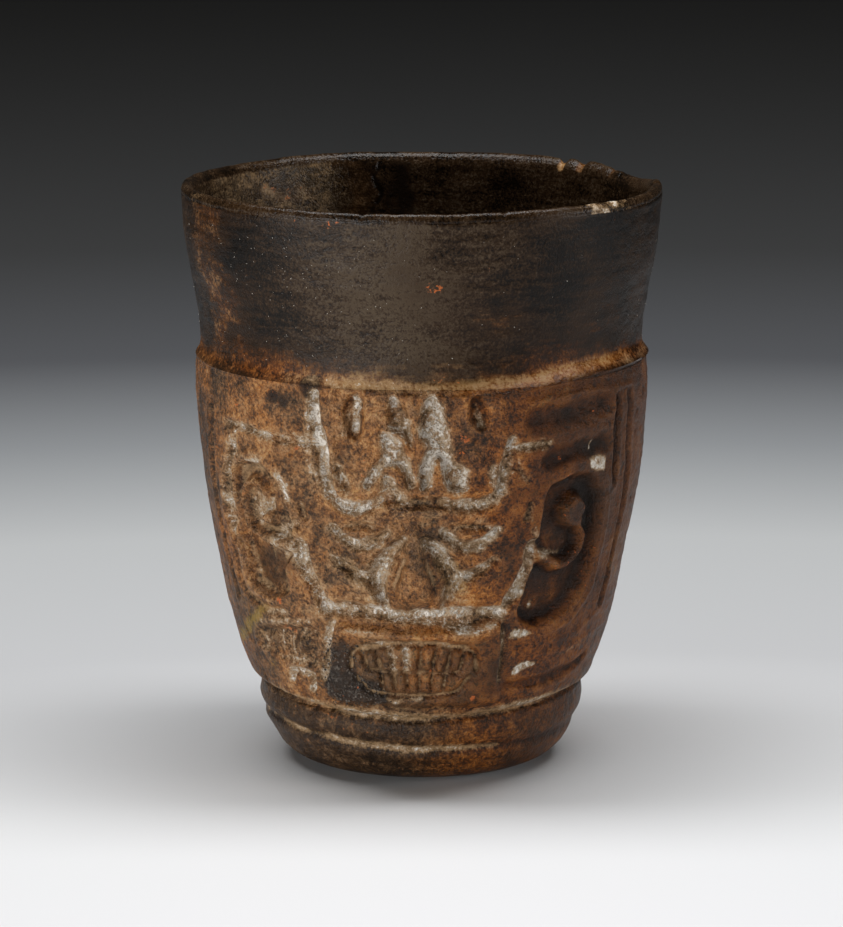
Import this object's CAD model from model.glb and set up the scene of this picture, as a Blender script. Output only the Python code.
# %% [markdown]
# # A blackware cup
#
# This lesson dresses a tall drinking cup of hand-built, reduction-fired earthenware. A potter shaped a
# rounded base, pressed two halves of a relief wall, joined them under a plain flaring collar, burnished
# the clay with a pebble and fired it in smoke. Centuries in the ground wore the high forms brown and left
# a pale lime deposit in the cuts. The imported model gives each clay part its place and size, and this
# script gives the surfaces their hand-made shape and their finish.

# %% The frame and the tools
import math

import bpy
import numpy as np
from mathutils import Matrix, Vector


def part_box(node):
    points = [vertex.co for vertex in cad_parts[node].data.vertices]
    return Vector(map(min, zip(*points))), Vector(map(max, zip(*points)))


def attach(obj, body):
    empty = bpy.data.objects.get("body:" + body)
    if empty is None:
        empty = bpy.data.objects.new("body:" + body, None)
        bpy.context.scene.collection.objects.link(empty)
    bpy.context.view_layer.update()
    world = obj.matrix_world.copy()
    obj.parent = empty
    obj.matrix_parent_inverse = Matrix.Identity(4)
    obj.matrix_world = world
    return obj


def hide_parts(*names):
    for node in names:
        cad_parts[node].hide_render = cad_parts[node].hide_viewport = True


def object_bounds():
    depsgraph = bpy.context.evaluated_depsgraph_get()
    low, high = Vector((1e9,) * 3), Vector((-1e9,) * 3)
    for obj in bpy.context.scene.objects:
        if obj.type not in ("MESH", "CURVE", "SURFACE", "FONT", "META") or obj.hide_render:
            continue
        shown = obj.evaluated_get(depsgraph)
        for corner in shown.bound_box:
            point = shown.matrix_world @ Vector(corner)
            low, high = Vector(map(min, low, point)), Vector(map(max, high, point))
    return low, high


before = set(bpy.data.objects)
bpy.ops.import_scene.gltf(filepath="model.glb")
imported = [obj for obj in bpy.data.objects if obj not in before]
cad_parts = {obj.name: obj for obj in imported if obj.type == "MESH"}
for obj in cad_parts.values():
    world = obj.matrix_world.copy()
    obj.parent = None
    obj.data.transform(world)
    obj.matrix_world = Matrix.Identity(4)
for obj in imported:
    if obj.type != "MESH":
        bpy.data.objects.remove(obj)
cad_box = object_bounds()
scene = bpy.context.scene
MM = 0.001

BASE_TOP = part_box("base_bowl")[1][2] / MM
RELIEF_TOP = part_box("front_relief_wall")[1][2] / MM
RIM_TOP = cad_box[1][2] / MM
RIM_REACH = cad_box[1][0] / MM
print(f"base to {BASE_TOP:.1f} mm, relief to {RELIEF_TOP:.1f} mm, rim at {RIM_TOP:.1f} mm")
print(f"the rim reaches {RIM_REACH:.1f} mm from the axis")

# %% [markdown]
# ## The camera
#
# The photograph looks down on the cup by a little over eleven degrees from about a metre away, through a
# long lens. Putting the camera first makes every later choice easy to judge, because only what it sees
# has to be fine. A lens in millimetres follows from the focal length in pixels, because Blender fits its
# 36 mm sensor to the longer side of the picture.

# %% The camera
PICTURE_HEIGHT = 927
FOCAL_PIXELS = 4415
CAMERA_BACK = 1.0
CAMERA_UP = 0.267
CAMERA_DOWN = 11.25

camera_data = bpy.data.cameras.new("photograph_view")
camera_data.sensor_width = 36
camera_data.lens = camera_data.sensor_width * FOCAL_PIXELS / PICTURE_HEIGHT
camera = bpy.data.objects.new("photograph_view", camera_data)
camera.location = (0, -CAMERA_BACK, CAMERA_UP)
camera.rotation_euler = (math.radians(90 - CAMERA_DOWN), 0, 0)
scene.collection.objects.link(camera)
scene.camera = camera
print(f"lens {camera_data.lens:.1f} mm, {CAMERA_BACK:.2f} m back and {CAMERA_UP * 1000:.0f} mm up")

# %% [markdown]
# ## One chart for the whole cup
#
# Relief on a round wall is easiest to draw on a flat chart. Here a place is written as (s, z): z is the
# height in millimetres, and s is the way round from the middle of the front, in millimetres at a radius
# of 50. Every surface below is a list of chart places with a radius, so that a form, a stain or a crease
# can run from one clay part to the next without a step.

# %% Smooth lines and soft edges on the chart
CHART_RADIUS = 50
HALF_TURN = math.pi * CHART_RADIUS


def through(points, at):
    """Reads a smooth line through (place, value) points at each place in `at`."""
    place, value = np.array(points, float).T
    slope = np.gradient(value, place)
    i = np.clip(np.searchsorted(place, at) - 1, 0, len(place) - 2)
    step = place[i + 1] - place[i]
    t = np.clip((at - place[i]) / step, 0, 1)
    start = value[i] * (1 + 2 * t) * (1 - t) ** 2 + step * slope[i] * t * (1 - t) ** 2
    end = value[i + 1] * t * t * (3 - 2 * t) - step * slope[i + 1] * t * t * (1 - t)
    return start + end


def soft(value, low, high):
    """Goes smoothly from 0 at `low` to 1 at `high`."""
    t = np.clip((value - low) / (high - low), 0, 1)
    return t * t * (3 - 2 * t)


def bell(away, width):
    """1 where `away` is 0, falling smoothly to nearly 0 at two widths."""
    return np.exp(-((away / width) ** 2))


def unevenness(s, z, across, up, seed):
    """Smooth random values from -1 to 1, about `across` by `up` mm, that close round the cup."""
    draw = np.random.default_rng(seed)
    round_cells = max(3, round(2 * HALF_TURN / across))
    high_cells = int(200 / up) + 3
    knots = draw.uniform(-1, 1, (round_cells, high_cells))
    column = (s / (2 * HALF_TURN)) % 1 * round_cells
    row = np.clip(z + 20, 0, 180) / up
    i = column.astype(int) % round_cells
    j = row.astype(int)
    u = soft(column - np.floor(column), 0, 1)
    v = soft(row - j, 0, 1)
    after = (i + 1) % round_cells
    low = knots[i, j] * (1 - u) + knots[after, j] * u
    high = knots[i, j + 1] * (1 - u) + knots[after, j + 1] * u
    return low * (1 - v) + high * v


print(f"the chart is {2 * HALF_TURN:.0f} mm round")

# %% [markdown]
# ## The body under the relief
#
# The wall is nearly a surface of revolution: a small flat foot, a rounded bowl, a swelling wall, a ledge
# where the collar laps over the relief, and a flare up to the rim. A smooth line through measured radii
# gives it. The ledge and the two creases near the foot wander up and down as fingers left them, so they
# are lines on the chart too, and the radius steps across each of them.

# %% The wall's radius at any place
BOWL_LINE = [
    (0, 23), (0.4, 26.2), (1.3, 29), (3.1, 31.8), (6, 33.9), (8.9, 35.3), (11.8, 36.5), (14.2, 37.2),
    (17, 37.2), (19, 37.2), (23, 38),
]
RELIEF_LINE = [
    (13, 36.4), (17.5, 37.7), (21.4, 39.7), (24.3, 40.8), (27.2, 41.9), (31.5, 43.2), (35.7, 44.4),
    (42.9, 45.9), (50, 47.2), (57.1, 48.5), (64.2, 49.7), (71.3, 50.6), (78.3, 51.2), (85.3, 51.7),
    (90, 51.8), (94.5, 51.6), (99, 51.3),
]
COLLAR_LINE = [
    (90, 50.6), (95, 50.6), (99.3, 50.7), (102.8, 50.9), (106.3, 51.4), (109.8, 52), (113.3, 52.7),
    (116.7, 53.4), (120.2, 53.9), (123.6, 54.3), (127.1, 54.6), (131.7, 54.9), (134, 55),
]
LEDGE_LINE = [
    (-157, 94.6), (-110, 94), (-70, 94.6), (-45, 94.4), (-20, 94), (-10, 93.6), (0, 92.8), (10, 92.9),
    (20, 93.3), (30, 94.4), (40, 95.2), (52, 95.6), (70, 95), (110, 94), (157, 94.6),
]
LEDGE_WIDTH = [(-157, 2.4), (-60, 2.2), (-20, 2.6), (0, 2), (20, 2.8), (40, 3.4), (60, 3), (157, 2.4)]
FOOT_CREASE = [
    (-157, 18.8), (-100, 19.4), (-65, 20.2), (-50, 19.4), (-35, 18.5), (-15, 17.6), (0, 17.1),
    (10, 17.4), (22, 18.1), (35, 18.5), (48, 19.1), (80, 19.4), (157, 18.8),
]
BOWL_CREASE = [
    (-157, 9.6), (-100, 11), (-60, 12.2), (-45, 11.4), (-30, 10.6), (-15, 9.8), (0, 9.2), (15, 9.4),
    (30, 9.1), (60, 9.2), (157, 9.6),
]
LEDGE_LIP = [
    (-157, 0.5), (-60, 0.35), (-20, 0.35), (0, 0.6), (12, 1.3), (35, 1.8), (60, 1.3), (100, 0.5),
    (157, 0.5),
]
FOOT_CREASE_DEPTH = 0.85
BOWL_CREASE_DEPTH = 0.75
BROAD_WANDER = 0.22
SMALL_WANDER = 0.1


def ledge_step(s, z):
    """0 on the relief, rising to 1 on the collar: a crisp lower edge and a smooth upper one."""
    start = through(LEDGE_LINE, s)
    t = np.clip((z - start) / through(LEDGE_WIDTH, s), 0, 1)
    return 1 - (1 - t) ** 1.7


def wall_radius(s, z):
    """The outer radius in mm with the ledge, the creases and the unevenness of hand work."""
    bowl = through(BOWL_LINE, z)
    relief = through(RELIEF_LINE, z)
    collar = through(COLLAR_LINE, z)
    crease = through(FOOT_CREASE, s)
    on_relief = soft(z, crease - 0.9, crease + 0.7)
    radius = bowl + (relief - bowl) * on_relief
    radius += (collar - relief) * ledge_step(s, z)
    above = z - through(LEDGE_LINE, s)
    lip = soft(above, -0.35, 0.35) * (1 - soft(above, 0.2, 3.6))
    radius += through(LEDGE_LIP, s) * lip
    radius -= FOOT_CREASE_DEPTH * bell(z - crease + 0.6, 0.8)
    line = through(BOWL_CREASE, s)
    fade = 0.35 + 0.65 * soft(-s, -34, -14)
    radius -= BOWL_CREASE_DEPTH * fade * bell(z - line, 0.9)
    radius += 0.45 * fade * bell(z - line + 2.2, 1.8)
    radius += 0.3 * bell(z - line - 3.2, 2)
    settled = soft(z, 1, 9)
    radius += settled * BROAD_WANDER * unevenness(s, z, 38, 30, 3)
    radius += settled * SMALL_WANDER * unevenness(s, z, 13, 9, 4)
    return np.minimum(radius, RIM_REACH - 0.05)


front_radii = wall_radius(np.zeros(4), np.array([5.0, 50, 90, 130]))
print("radius at the front, mm, 5, 50, 90 and 130 mm up:", front_radii.round(1).tolist())

# %% [markdown]
# ## Clay that remembers what happened to it
#
# A sculptor presses, swells and stains clay, and this small class does the same with numbers. It holds
# each point's chart place, how far the point stands out from the wall, and an amount from 0 to 1 for each
# finish: how worn, how warm and how glossy the brown is, and what lies on it, which is dust, lime, soot,
# rust flecks, ochre and crust. The amounts become attributes on the mesh, and the material turns them into
# colour. Painting on points keeps every mark in real millimetres and needs no image.

# %% Clay, its forms and its marks
FINISHES = ("worn", "warm", "gloss", "dust", "lime", "soot", "rust", "ochre", "crust")


class Clay:
    """One piece's points on the chart, with what was pressed and painted there."""

    def __init__(self, s, z, wobble=0.35):
        self.place = (s, z)
        self.s = s + wobble * unevenness(s, z, 4.2, 4.2, 11) + 0.7 * wobble * unevenness(s, z, 1.8, 1.8, 12)
        self.z = z + wobble * unevenness(s, z, 4.2, 4.2, 13) + 0.7 * wobble * unevenness(s, z, 1.8, 1.8, 14)
        self.rise = np.zeros_like(s)
        patches = 0.86 + 0.3 * unevenness(s, z, 3.4, 3.4, 15) + 0.16 * unevenness(s, z, 1.5, 1.5, 16)
        self.patchy = np.clip(patches, 0, 1)
        self.finish = {name: np.zeros_like(s) for name in FINISHES}


def near(clay, points, margin):
    """Which points of the clay lie within `margin` mm of a form's box."""
    low = np.min(points, axis=0) - margin
    high = np.max(points, axis=0) + margin
    inside = (clay.s > low[0]) & (clay.s < high[0]) & (clay.z > low[1]) & (clay.z < high[1])
    return np.flatnonzero(inside)


def rounded(points, closed=False, steps=6):
    """Hand-picked points with a smooth line drawn through them."""
    points = np.array(points, float)
    if closed:
        ring = np.vstack([points[-2:], points, points[:3]])
        at = np.linspace(2, 2 + len(points), len(points) * steps, endpoint=False)
    else:
        ring = points
        at = np.linspace(0, len(points) - 1, (len(points) - 1) * steps + 1)
    order = np.arange(len(ring))
    return np.column_stack([through(np.column_stack([order, c]), at) for c in ring.T])


def to_segments(s, z, line):
    """The distance in mm to a line of points, and the share of the way along it."""
    best = np.full(s.shape, 99.0)
    way = np.zeros(s.shape)
    for i in range(len(line) - 1):
        (s0, z0), (s1, z1) = line[i][:2], line[i + 1][:2]
        reach = (s1 - s0) ** 2 + (z1 - z0) ** 2 + 1e-9
        t = np.clip(((s - s0) * (s1 - s0) + (z - z0) * (z1 - z0)) / reach, 0, 1)
        gap = np.hypot(s - s0 - t * (s1 - s0), z - z0 - t * (z1 - z0))
        closer = gap < best
        best[closer] = gap[closer]
        way[closer] = i + t[closer]
    return best, way


def stroke(clay, points, widths):
    """Signed distance in mm to the edge of a stroke, negative inside, for the points near it."""
    widths = np.broadcast_to(np.array(widths, float), (len(points),))
    line = rounded(np.column_stack([points, widths]))
    where = near(clay, line[:, :2], 4 + widths.max())
    gap, way = to_segments(clay.s[where], clay.z[where], line)
    width = np.interp(way, np.arange(len(line)), line[:, 2])
    return where, gap - width / 2


def patch(clay, points):
    """Signed distance in mm to the edge of a closed outline, negative inside."""
    ring = rounded(points, closed=True)
    ring = np.vstack([ring, ring[:1]])
    where = near(clay, ring, 4)
    s, z = clay.s[where], clay.z[where]
    gap, _ = to_segments(s, z, ring)
    crossings = np.zeros(s.shape, int)
    for (s0, z0), (s1, z1) in zip(ring[:-1], ring[1:]):
        spans = (z0 > z) != (z1 > z)
        crossings += spans & (s < s0 + (z - z0) * (s1 - s0) / (z1 - z0 + 1e-12))
    return where, np.where(crossings % 2 == 1, -gap, gap)


def disc(clay, centre, radii):
    """Signed distance in mm to the edge of an oval."""
    radii = np.broadcast_to(np.array(radii, float), (2,))
    where = near(clay, [centre], 4 + radii.max())
    across = (clay.s[where] - centre[0]) / radii[0]
    up = (clay.z[where] - centre[1]) / radii[1]
    return where, (np.hypot(across, up) - 1) * radii.min()


def press(clay, form, level, shoulder=0.8):
    """Presses the clay down to `level` mm inside a form, with a soft shoulder."""
    where, edge = form
    share = 1 - soft(edge, -shoulder, 0.8 * shoulder)
    clay.rise[where] += share * np.minimum(0, level - clay.rise[where])


def swell(clay, form, level, shoulder=1.4):
    """Raises the clay to `level` mm inside a form, domed over the shoulder."""
    where, edge = form
    share = 1 - soft(edge, -shoulder, 0.3)
    clay.rise[where] += share * np.maximum(0, level - clay.rise[where])


def mark(clay, form, finish, amount, fringe=1.0):
    """Lays a patchy amount of one finish on a form, fading over a fringe."""
    where, edge = form
    share = amount * clay.patchy[where] * (1 - soft(edge, -fringe, fringe))
    clay.finish[finish][where] = np.maximum(clay.finish[finish][where], share)


def flecks(clay, spots, finish, amount, fringe):
    """Lays small discs of one finish, each given as a place and a size."""
    for place, size in spots:
        mark(clay, disc(clay, place, size), finish, amount, fringe)


def lay(finish, name, amount):
    """Adds one finish where it is stronger than what lies there already."""
    finish[name] = np.maximum(finish[name], amount)


def cut(clay, form, depth, lime=0.0, shoulder=0.8):
    """A pressed cut: the tool pushes a soft lip up beside it, and lime stays lying in it."""
    where, edge = form
    clay.rise[where] += 0.2 * bell(edge - 1.1, 0.8) * min(depth, 1.5)
    press(clay, form, -0.9 * depth, shoulder)
    if lime:
        mark(clay, (where, edge - 0.5), "lime", lime)


print("finishes:", ", ".join(FINISHES))

# %% [markdown]
# ## The headdress
#
# Above the brow hang tongues of cloth or feathers, parted by drop-shaped cuts that run up under the
# collar. On the cup these are pressed about 1.5 mm deep with soft, rounded shoulders, and most of them
# hold pale lime. Each cut is either a stroke with a width at each point or a closed outline. They are
# listed by hand, because a mould maker cut each one by eye and no two are alike.

# %% The headdress's cuts
def press_headdress(clay):
    tongues = (
        [(-19.6, 93), (-19.4, 84), (-19.2, 75)],
        [(-9.6, 93), (-9.8, 87), (-13, 79)],
        [(-2.6, 93), (-1.2, 86)],
        [(8.4, 93), (9.2, 84), (13.4, 77)],
        [(17, 92), (17.4, 84)],
    )
    for points in tongues:
        swell(clay, stroke(clay, points, 4.4), 0.6, 2.4)
    cut(clay, stroke(clay, [(-24, 93), (-23.6, 88), (-22.8, 83), (-21.6, 77), (-20.4, 70.4)],
                     [1.4, 2, 2.6, 2.6, 2.2]), 1.5, 1)
    mark(clay, stroke(clay, [(-25, 91), (-25.4, 84), (-25, 78), (-23.4, 72)], [1.4, 2.4, 3, 2]), "lime", 0.62)
    cut(clay, stroke(clay, [(-24, 81.8), (-30, 82.1), (-35, 81.7), (-41, 82.5), (-49.5, 82.9)],
                     [2.2, 1.9, 1.4, 1.5, 1.9]), 1.1, 0.62)
    cut(clay, patch(clay, [(-14.4, 93.6), (-12.6, 91), (-12.6, 87.5), (-14, 83.6), (-15.8, 84.4),
                           (-16.8, 88), (-16.4, 91.6)]), 1.7)
    mark(clay, stroke(clay, [(-14.6, 92.4), (-14.3, 89), (-15, 85.4)], [1.8, 2.6, 2]), "lime", 1)
    mark(clay, stroke(clay, [(-16, 91), (-16.4, 88), (-17, 84.6)], [1, 1.2, 2]), "lime", 0.6)
    cut(clay, stroke(clay, [(-18.6, 76.6), (-17.3, 73.6), (-16, 71.4)], [1.6, 2, 0.8]), 1, 1)
    cut(clay, patch(clay, [(-6.6, 93), (-4.8, 92.5), (-2.8, 87), (-2, 82.2), (-4, 84.6), (-6.5, 86.4)]),
        1.7, 0.85)
    cut(clay, patch(clay, [(-8, 84.4), (-4.3, 83), (-3, 78.6), (-1.4, 74), (-2.8, 73.4), (-4.8, 77.6),
                           (-7, 77.4), (-11.8, 72.4), (-12.4, 74.2), (-8.6, 79.6)]), 1.5, 0.82)
    cut(clay, patch(clay, [(-7.9, 75.6), (-6, 74.6), (-3.2, 70.2), (-7.4, 70.4)]), 1.2, 0.82)
    cut(clay, patch(clay, [(2.4, 93.6), (4.3, 91), (5.5, 86), (6.2, 80), (7.3, 77.8), (10, 76.2), (9.7, 72.6),
                           (6.4, 71.6), (4.8, 74), (3.8, 79.2), (2.3, 78.6), (1.5, 73.6), (-0.2, 73),
                           (0.1, 78), (1.2, 82), (-0.1, 85), (0.1, 90)]), 1.9, 0.95)
    cut(clay, patch(clay, [(12.2, 93.8), (14.2, 90.5), (14.2, 87), (12.8, 85.4), (11, 88), (10.5, 91.6)]),
        1.6)
    mark(clay, stroke(clay, [(12.3, 90.6), (13, 86.6)], [0.8, 1.6]), "lime", 0.85)
    cut(clay, stroke(clay, [(15.8, 76.6), (15.7, 72.8)], [1.3, 1.1]), 0.8, 0.75)
    cut(clay, stroke(clay, [(19.9, 82.8), (18.8, 78), (17.5, 71.4)], [1.5, 2.6, 2.2]), 1.4, 0.8)
    cut(clay, stroke(clay, [(20.2, 80.4), (24, 81.3), (29, 80.9)], [1.6, 1.6, 1]), 1, 0.7)
    for reach in (0, 1, 2):
        fan = [(20.4, 79.6 - 1.6 * reach), (22 + 1.1 * reach, 76.2 - 1.4 * reach)]
        cut(clay, stroke(clay, fan, 0.7), 0.6, 0.5, 0.5)
    brow = [(-20.2, 70.9), (-18.8, 68.8), (-14, 67.7), (-11.3, 68.6), (-8.2, 70.4)]
    cut(clay, stroke(clay, brow, [1.2, 2.4, 2.4, 2.2, 1.6]), 1.3, 0.9)
    cut(clay, stroke(clay, [(-8.4, 70.3), (-4, 69.4), (0, 69.7), (4.6, 69.3)], 1.9), 0.9, 0.42)
    cut(clay, stroke(clay, [(4.4, 69.4), (10, 68.4), (15.5, 69.6), (17.6, 71.6)], [1.6, 2.6, 2.4, 1.4]),
        1.2, 0.66)
    swell(clay, stroke(clay, [(-19, 72.4), (-14, 70.8), (-9, 73.4)], 1.8), 0.35)
    swell(clay, stroke(clay, [(5, 72.2), (10, 70.9), (15, 72.6)], 1.8), 0.35)
    rust = [((-12, 79.6), 1.1), ((-12, 75.6), 1.2), ((9, 84), 1.3), ((17, 79.6), 1), ((8.4, 81), 0.7)]
    flecks(clay, rust, "rust", 0.62, 1.2)


print("the headdress has its cuts")

# %% [markdown]
# ## The face
#
# Between the brow and the mouth panel is a calm mask. It is laid out here by simple shares of the height
# between brow and panel: heavy lids above the middle, cheeks that swell below them, and a wedge of a nose
# whose wings end near the foot. Both sides are the same forms mirrored over the middle line, so each is
# written once with a distance from that line.

# %% The face's forms
MASK_MIDDLE = -1.5
BROW_LINE = 68.4
CHEEK_LINE = 43.1
FACE_HEIGHT = BROW_LINE - CHEEK_LINE
EYE_LINE = CHEEK_LINE + 0.72 * FACE_HEIGHT
WING_LINE = CHEEK_LINE + 0.27 * FACE_HEIGHT
EYE_OUT = 12.6
EYE_HALF = 6


def both_sides(points):
    """The same points on the viewer's right and left of the mask's middle line."""
    for side in (1, -1):
        yield [(MASK_MIDDLE + side * out, z) for out, z in points]


def press_face(clay):
    inner, outer = EYE_OUT - EYE_HALF, EYE_OUT + EYE_HALF
    for points in both_sides([(15, 49.6)]):
        swell(clay, disc(clay, points[0], (10.5, 6)), 0.9, 5)
    brow = [(-20, 66.4), (-10, 65.6), (0, 66.8), (10, 66), (17, 67.6)]
    swell(clay, stroke(clay, brow, [3, 4.4, 5, 4.4, 3]), 0.7, 2.4)
    for points in both_sides([(3.4, 63), (9, 64.6), (15, 64.6), (20.4, 62)]):
        swell(clay, stroke(clay, points, [3, 4, 4, 3]), 0.5, 2.2)
    for points in both_sides([(inner, EYE_LINE + 1.6), (EYE_OUT, EYE_LINE + 2.4), (outer, EYE_LINE + 1.8)]):
        cut(clay, stroke(clay, points, [0.8, 1.2, 0.8]), 0.7, 0.35)
    for points in both_sides([(EYE_OUT, EYE_LINE + 0.6)]):
        swell(clay, disc(clay, points[0], (4.8, 1.9)), 0.75, 1.7)
    lower_lid = [(inner - 0.4, EYE_LINE + 0.9), (EYE_OUT - 2.6, EYE_LINE - 1.9),
                 (EYE_OUT + 1.6, EYE_LINE - 2.1), (outer + 0.4, EYE_LINE + 1.2)]
    for points in both_sides(lower_lid):
        cut(clay, stroke(clay, points, [1.4, 2.1, 2.2, 1.3]), 1.4, 0.78)
    for points in both_sides([(9.4, WING_LINE + 4.6), (14.2, WING_LINE + 4.2), (19.6, WING_LINE + 7.4)]):
        swell(clay, stroke(clay, points, [2.6, 3.4, 2.4]), 0.45, 1.8)
    for points in both_sides([(9, WING_LINE + 2.2), (13.6, WING_LINE + 2.4), (19, WING_LINE + 5.6)]):
        cut(clay, stroke(clay, points, [2.4, 2.3, 1]), 1, 0.75)
    beside_nose = [(2.4, EYE_LINE - 1), (6.4, EYE_LINE - 5), (8.6, WING_LINE + 1), (7, WING_LINE - 4.6)]
    for points in both_sides(beside_nose):
        cut(clay, stroke(clay, points, [1.4, 3.4, 3.6, 2.2]), 1.9, 0.7, 1.2)
    for points in both_sides([(28, 57.6), (27.6, 53.6), (26, 49.4), (22.8, 44.8)]):
        cut(clay, stroke(clay, points, [3.4, 3.4, 3, 2.6]), 1.5, 0.78)
    for points in both_sides([(26.6, 67.6), (26, 64.6)]):
        cut(clay, stroke(clay, points, [1.2, 1.7]), 0.9, 0.5)


def dust_face(clay):
    """A thin film of lime that lies in the soft hollows of the mask."""
    films = (
        ([(-5, 60), (-9, 54), (-11, 48)], [2, 4.4, 4], 0.62),
        ([(4.6, 56), (8, 51), (8.6, 46.6)], [1.6, 4.6, 3.4], 0.46),
        ([(-20, 55), (-14, 51)], [2.4, 5], 0.62),
        ([(-26, 44), (-12, 46), (-8, 45)], [4, 3.4, 4], 0.5),
        ([(-28, 52), (-25.4, 47), (-23, 43)], [5, 4.6, 4], 0.5),
        ([(-12, 66.4), (-2, 68), (8, 67.4)], [3, 3.4, 3], 0.28),
        ([(-17, 64), (-11, 65)], [1.6, 2], 0.4),
        ([(7, 64.6), (14, 65.2)], [1.6, 1.6], 0.4),
        ([(-30, 42), (-22, 43), (-10, 42.6)], [3, 4, 3], 0.55),
        ([(-24, 88), (-25, 80), (-24, 72)], [3, 5, 3], 0.42),
    )
    for points, widths, amount in films:
        mark(clay, stroke(clay, points, widths), "dust", amount + 0.2, 2.4)
        mark(clay, stroke(clay, points, widths), "lime", 0.75 * amount, 1.6)
    mark(clay, patch(clay, [(4, 57), (9, 55), (11, 50), (9, 46.4), (5, 48)]), "ochre", 0.5, 1.6)


def raise_nose(clay):
    """A wedge that widens and rises to a round tip, then drops to the lip."""
    s, z = clay.s - MASK_MIDDLE, clay.z
    widths = [(WING_LINE - 5, 3.8), (WING_LINE - 2, 5), (WING_LINE + 3, 3.6), (EYE_LINE, 2), (BROW_LINE, 1.8)]
    heights = [(WING_LINE - 5.4, 0), (WING_LINE - 3, 2.6), (WING_LINE, 3.4), (EYE_LINE, 1.4),
               (BROW_LINE - 3, 0)]
    half = through(widths, z)
    height = through(heights, z)
    inside = (z > WING_LINE - 5.2) & (z < BROW_LINE - 3)
    section = np.clip(1 - (s / half) ** 2, 0, 1) ** 0.8
    lift = section * np.maximum(0, height - clay.rise) * soft(1 - abs(s / half), 0, 0.25)
    clay.rise += np.where(inside, lift, 0)


print(f"eyes at {EYE_LINE:.1f} mm, nose wings at {WING_LINE:.1f} mm")

# %% [markdown]
# ## The mouth panel
#
# Below the face a slab stands about a millimetre proud of the wall, with a toothed mouth pressed into it.
# The teeth are straight cuts at one pitch inside a rounded frame, so a loop makes them. Grit from the
# ground still sticks to the panel's lower left corner.

# %% The mouth panel and its teeth
PANEL_TOP = 40.6
PANEL_FOOT = 20.4
MOUTH_LINE = 29.4
MOUTH_HALF = 16.4
MOUTH_RISE = 7
TEETH = 8
TOOTH_PITCH = 3.6


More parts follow.
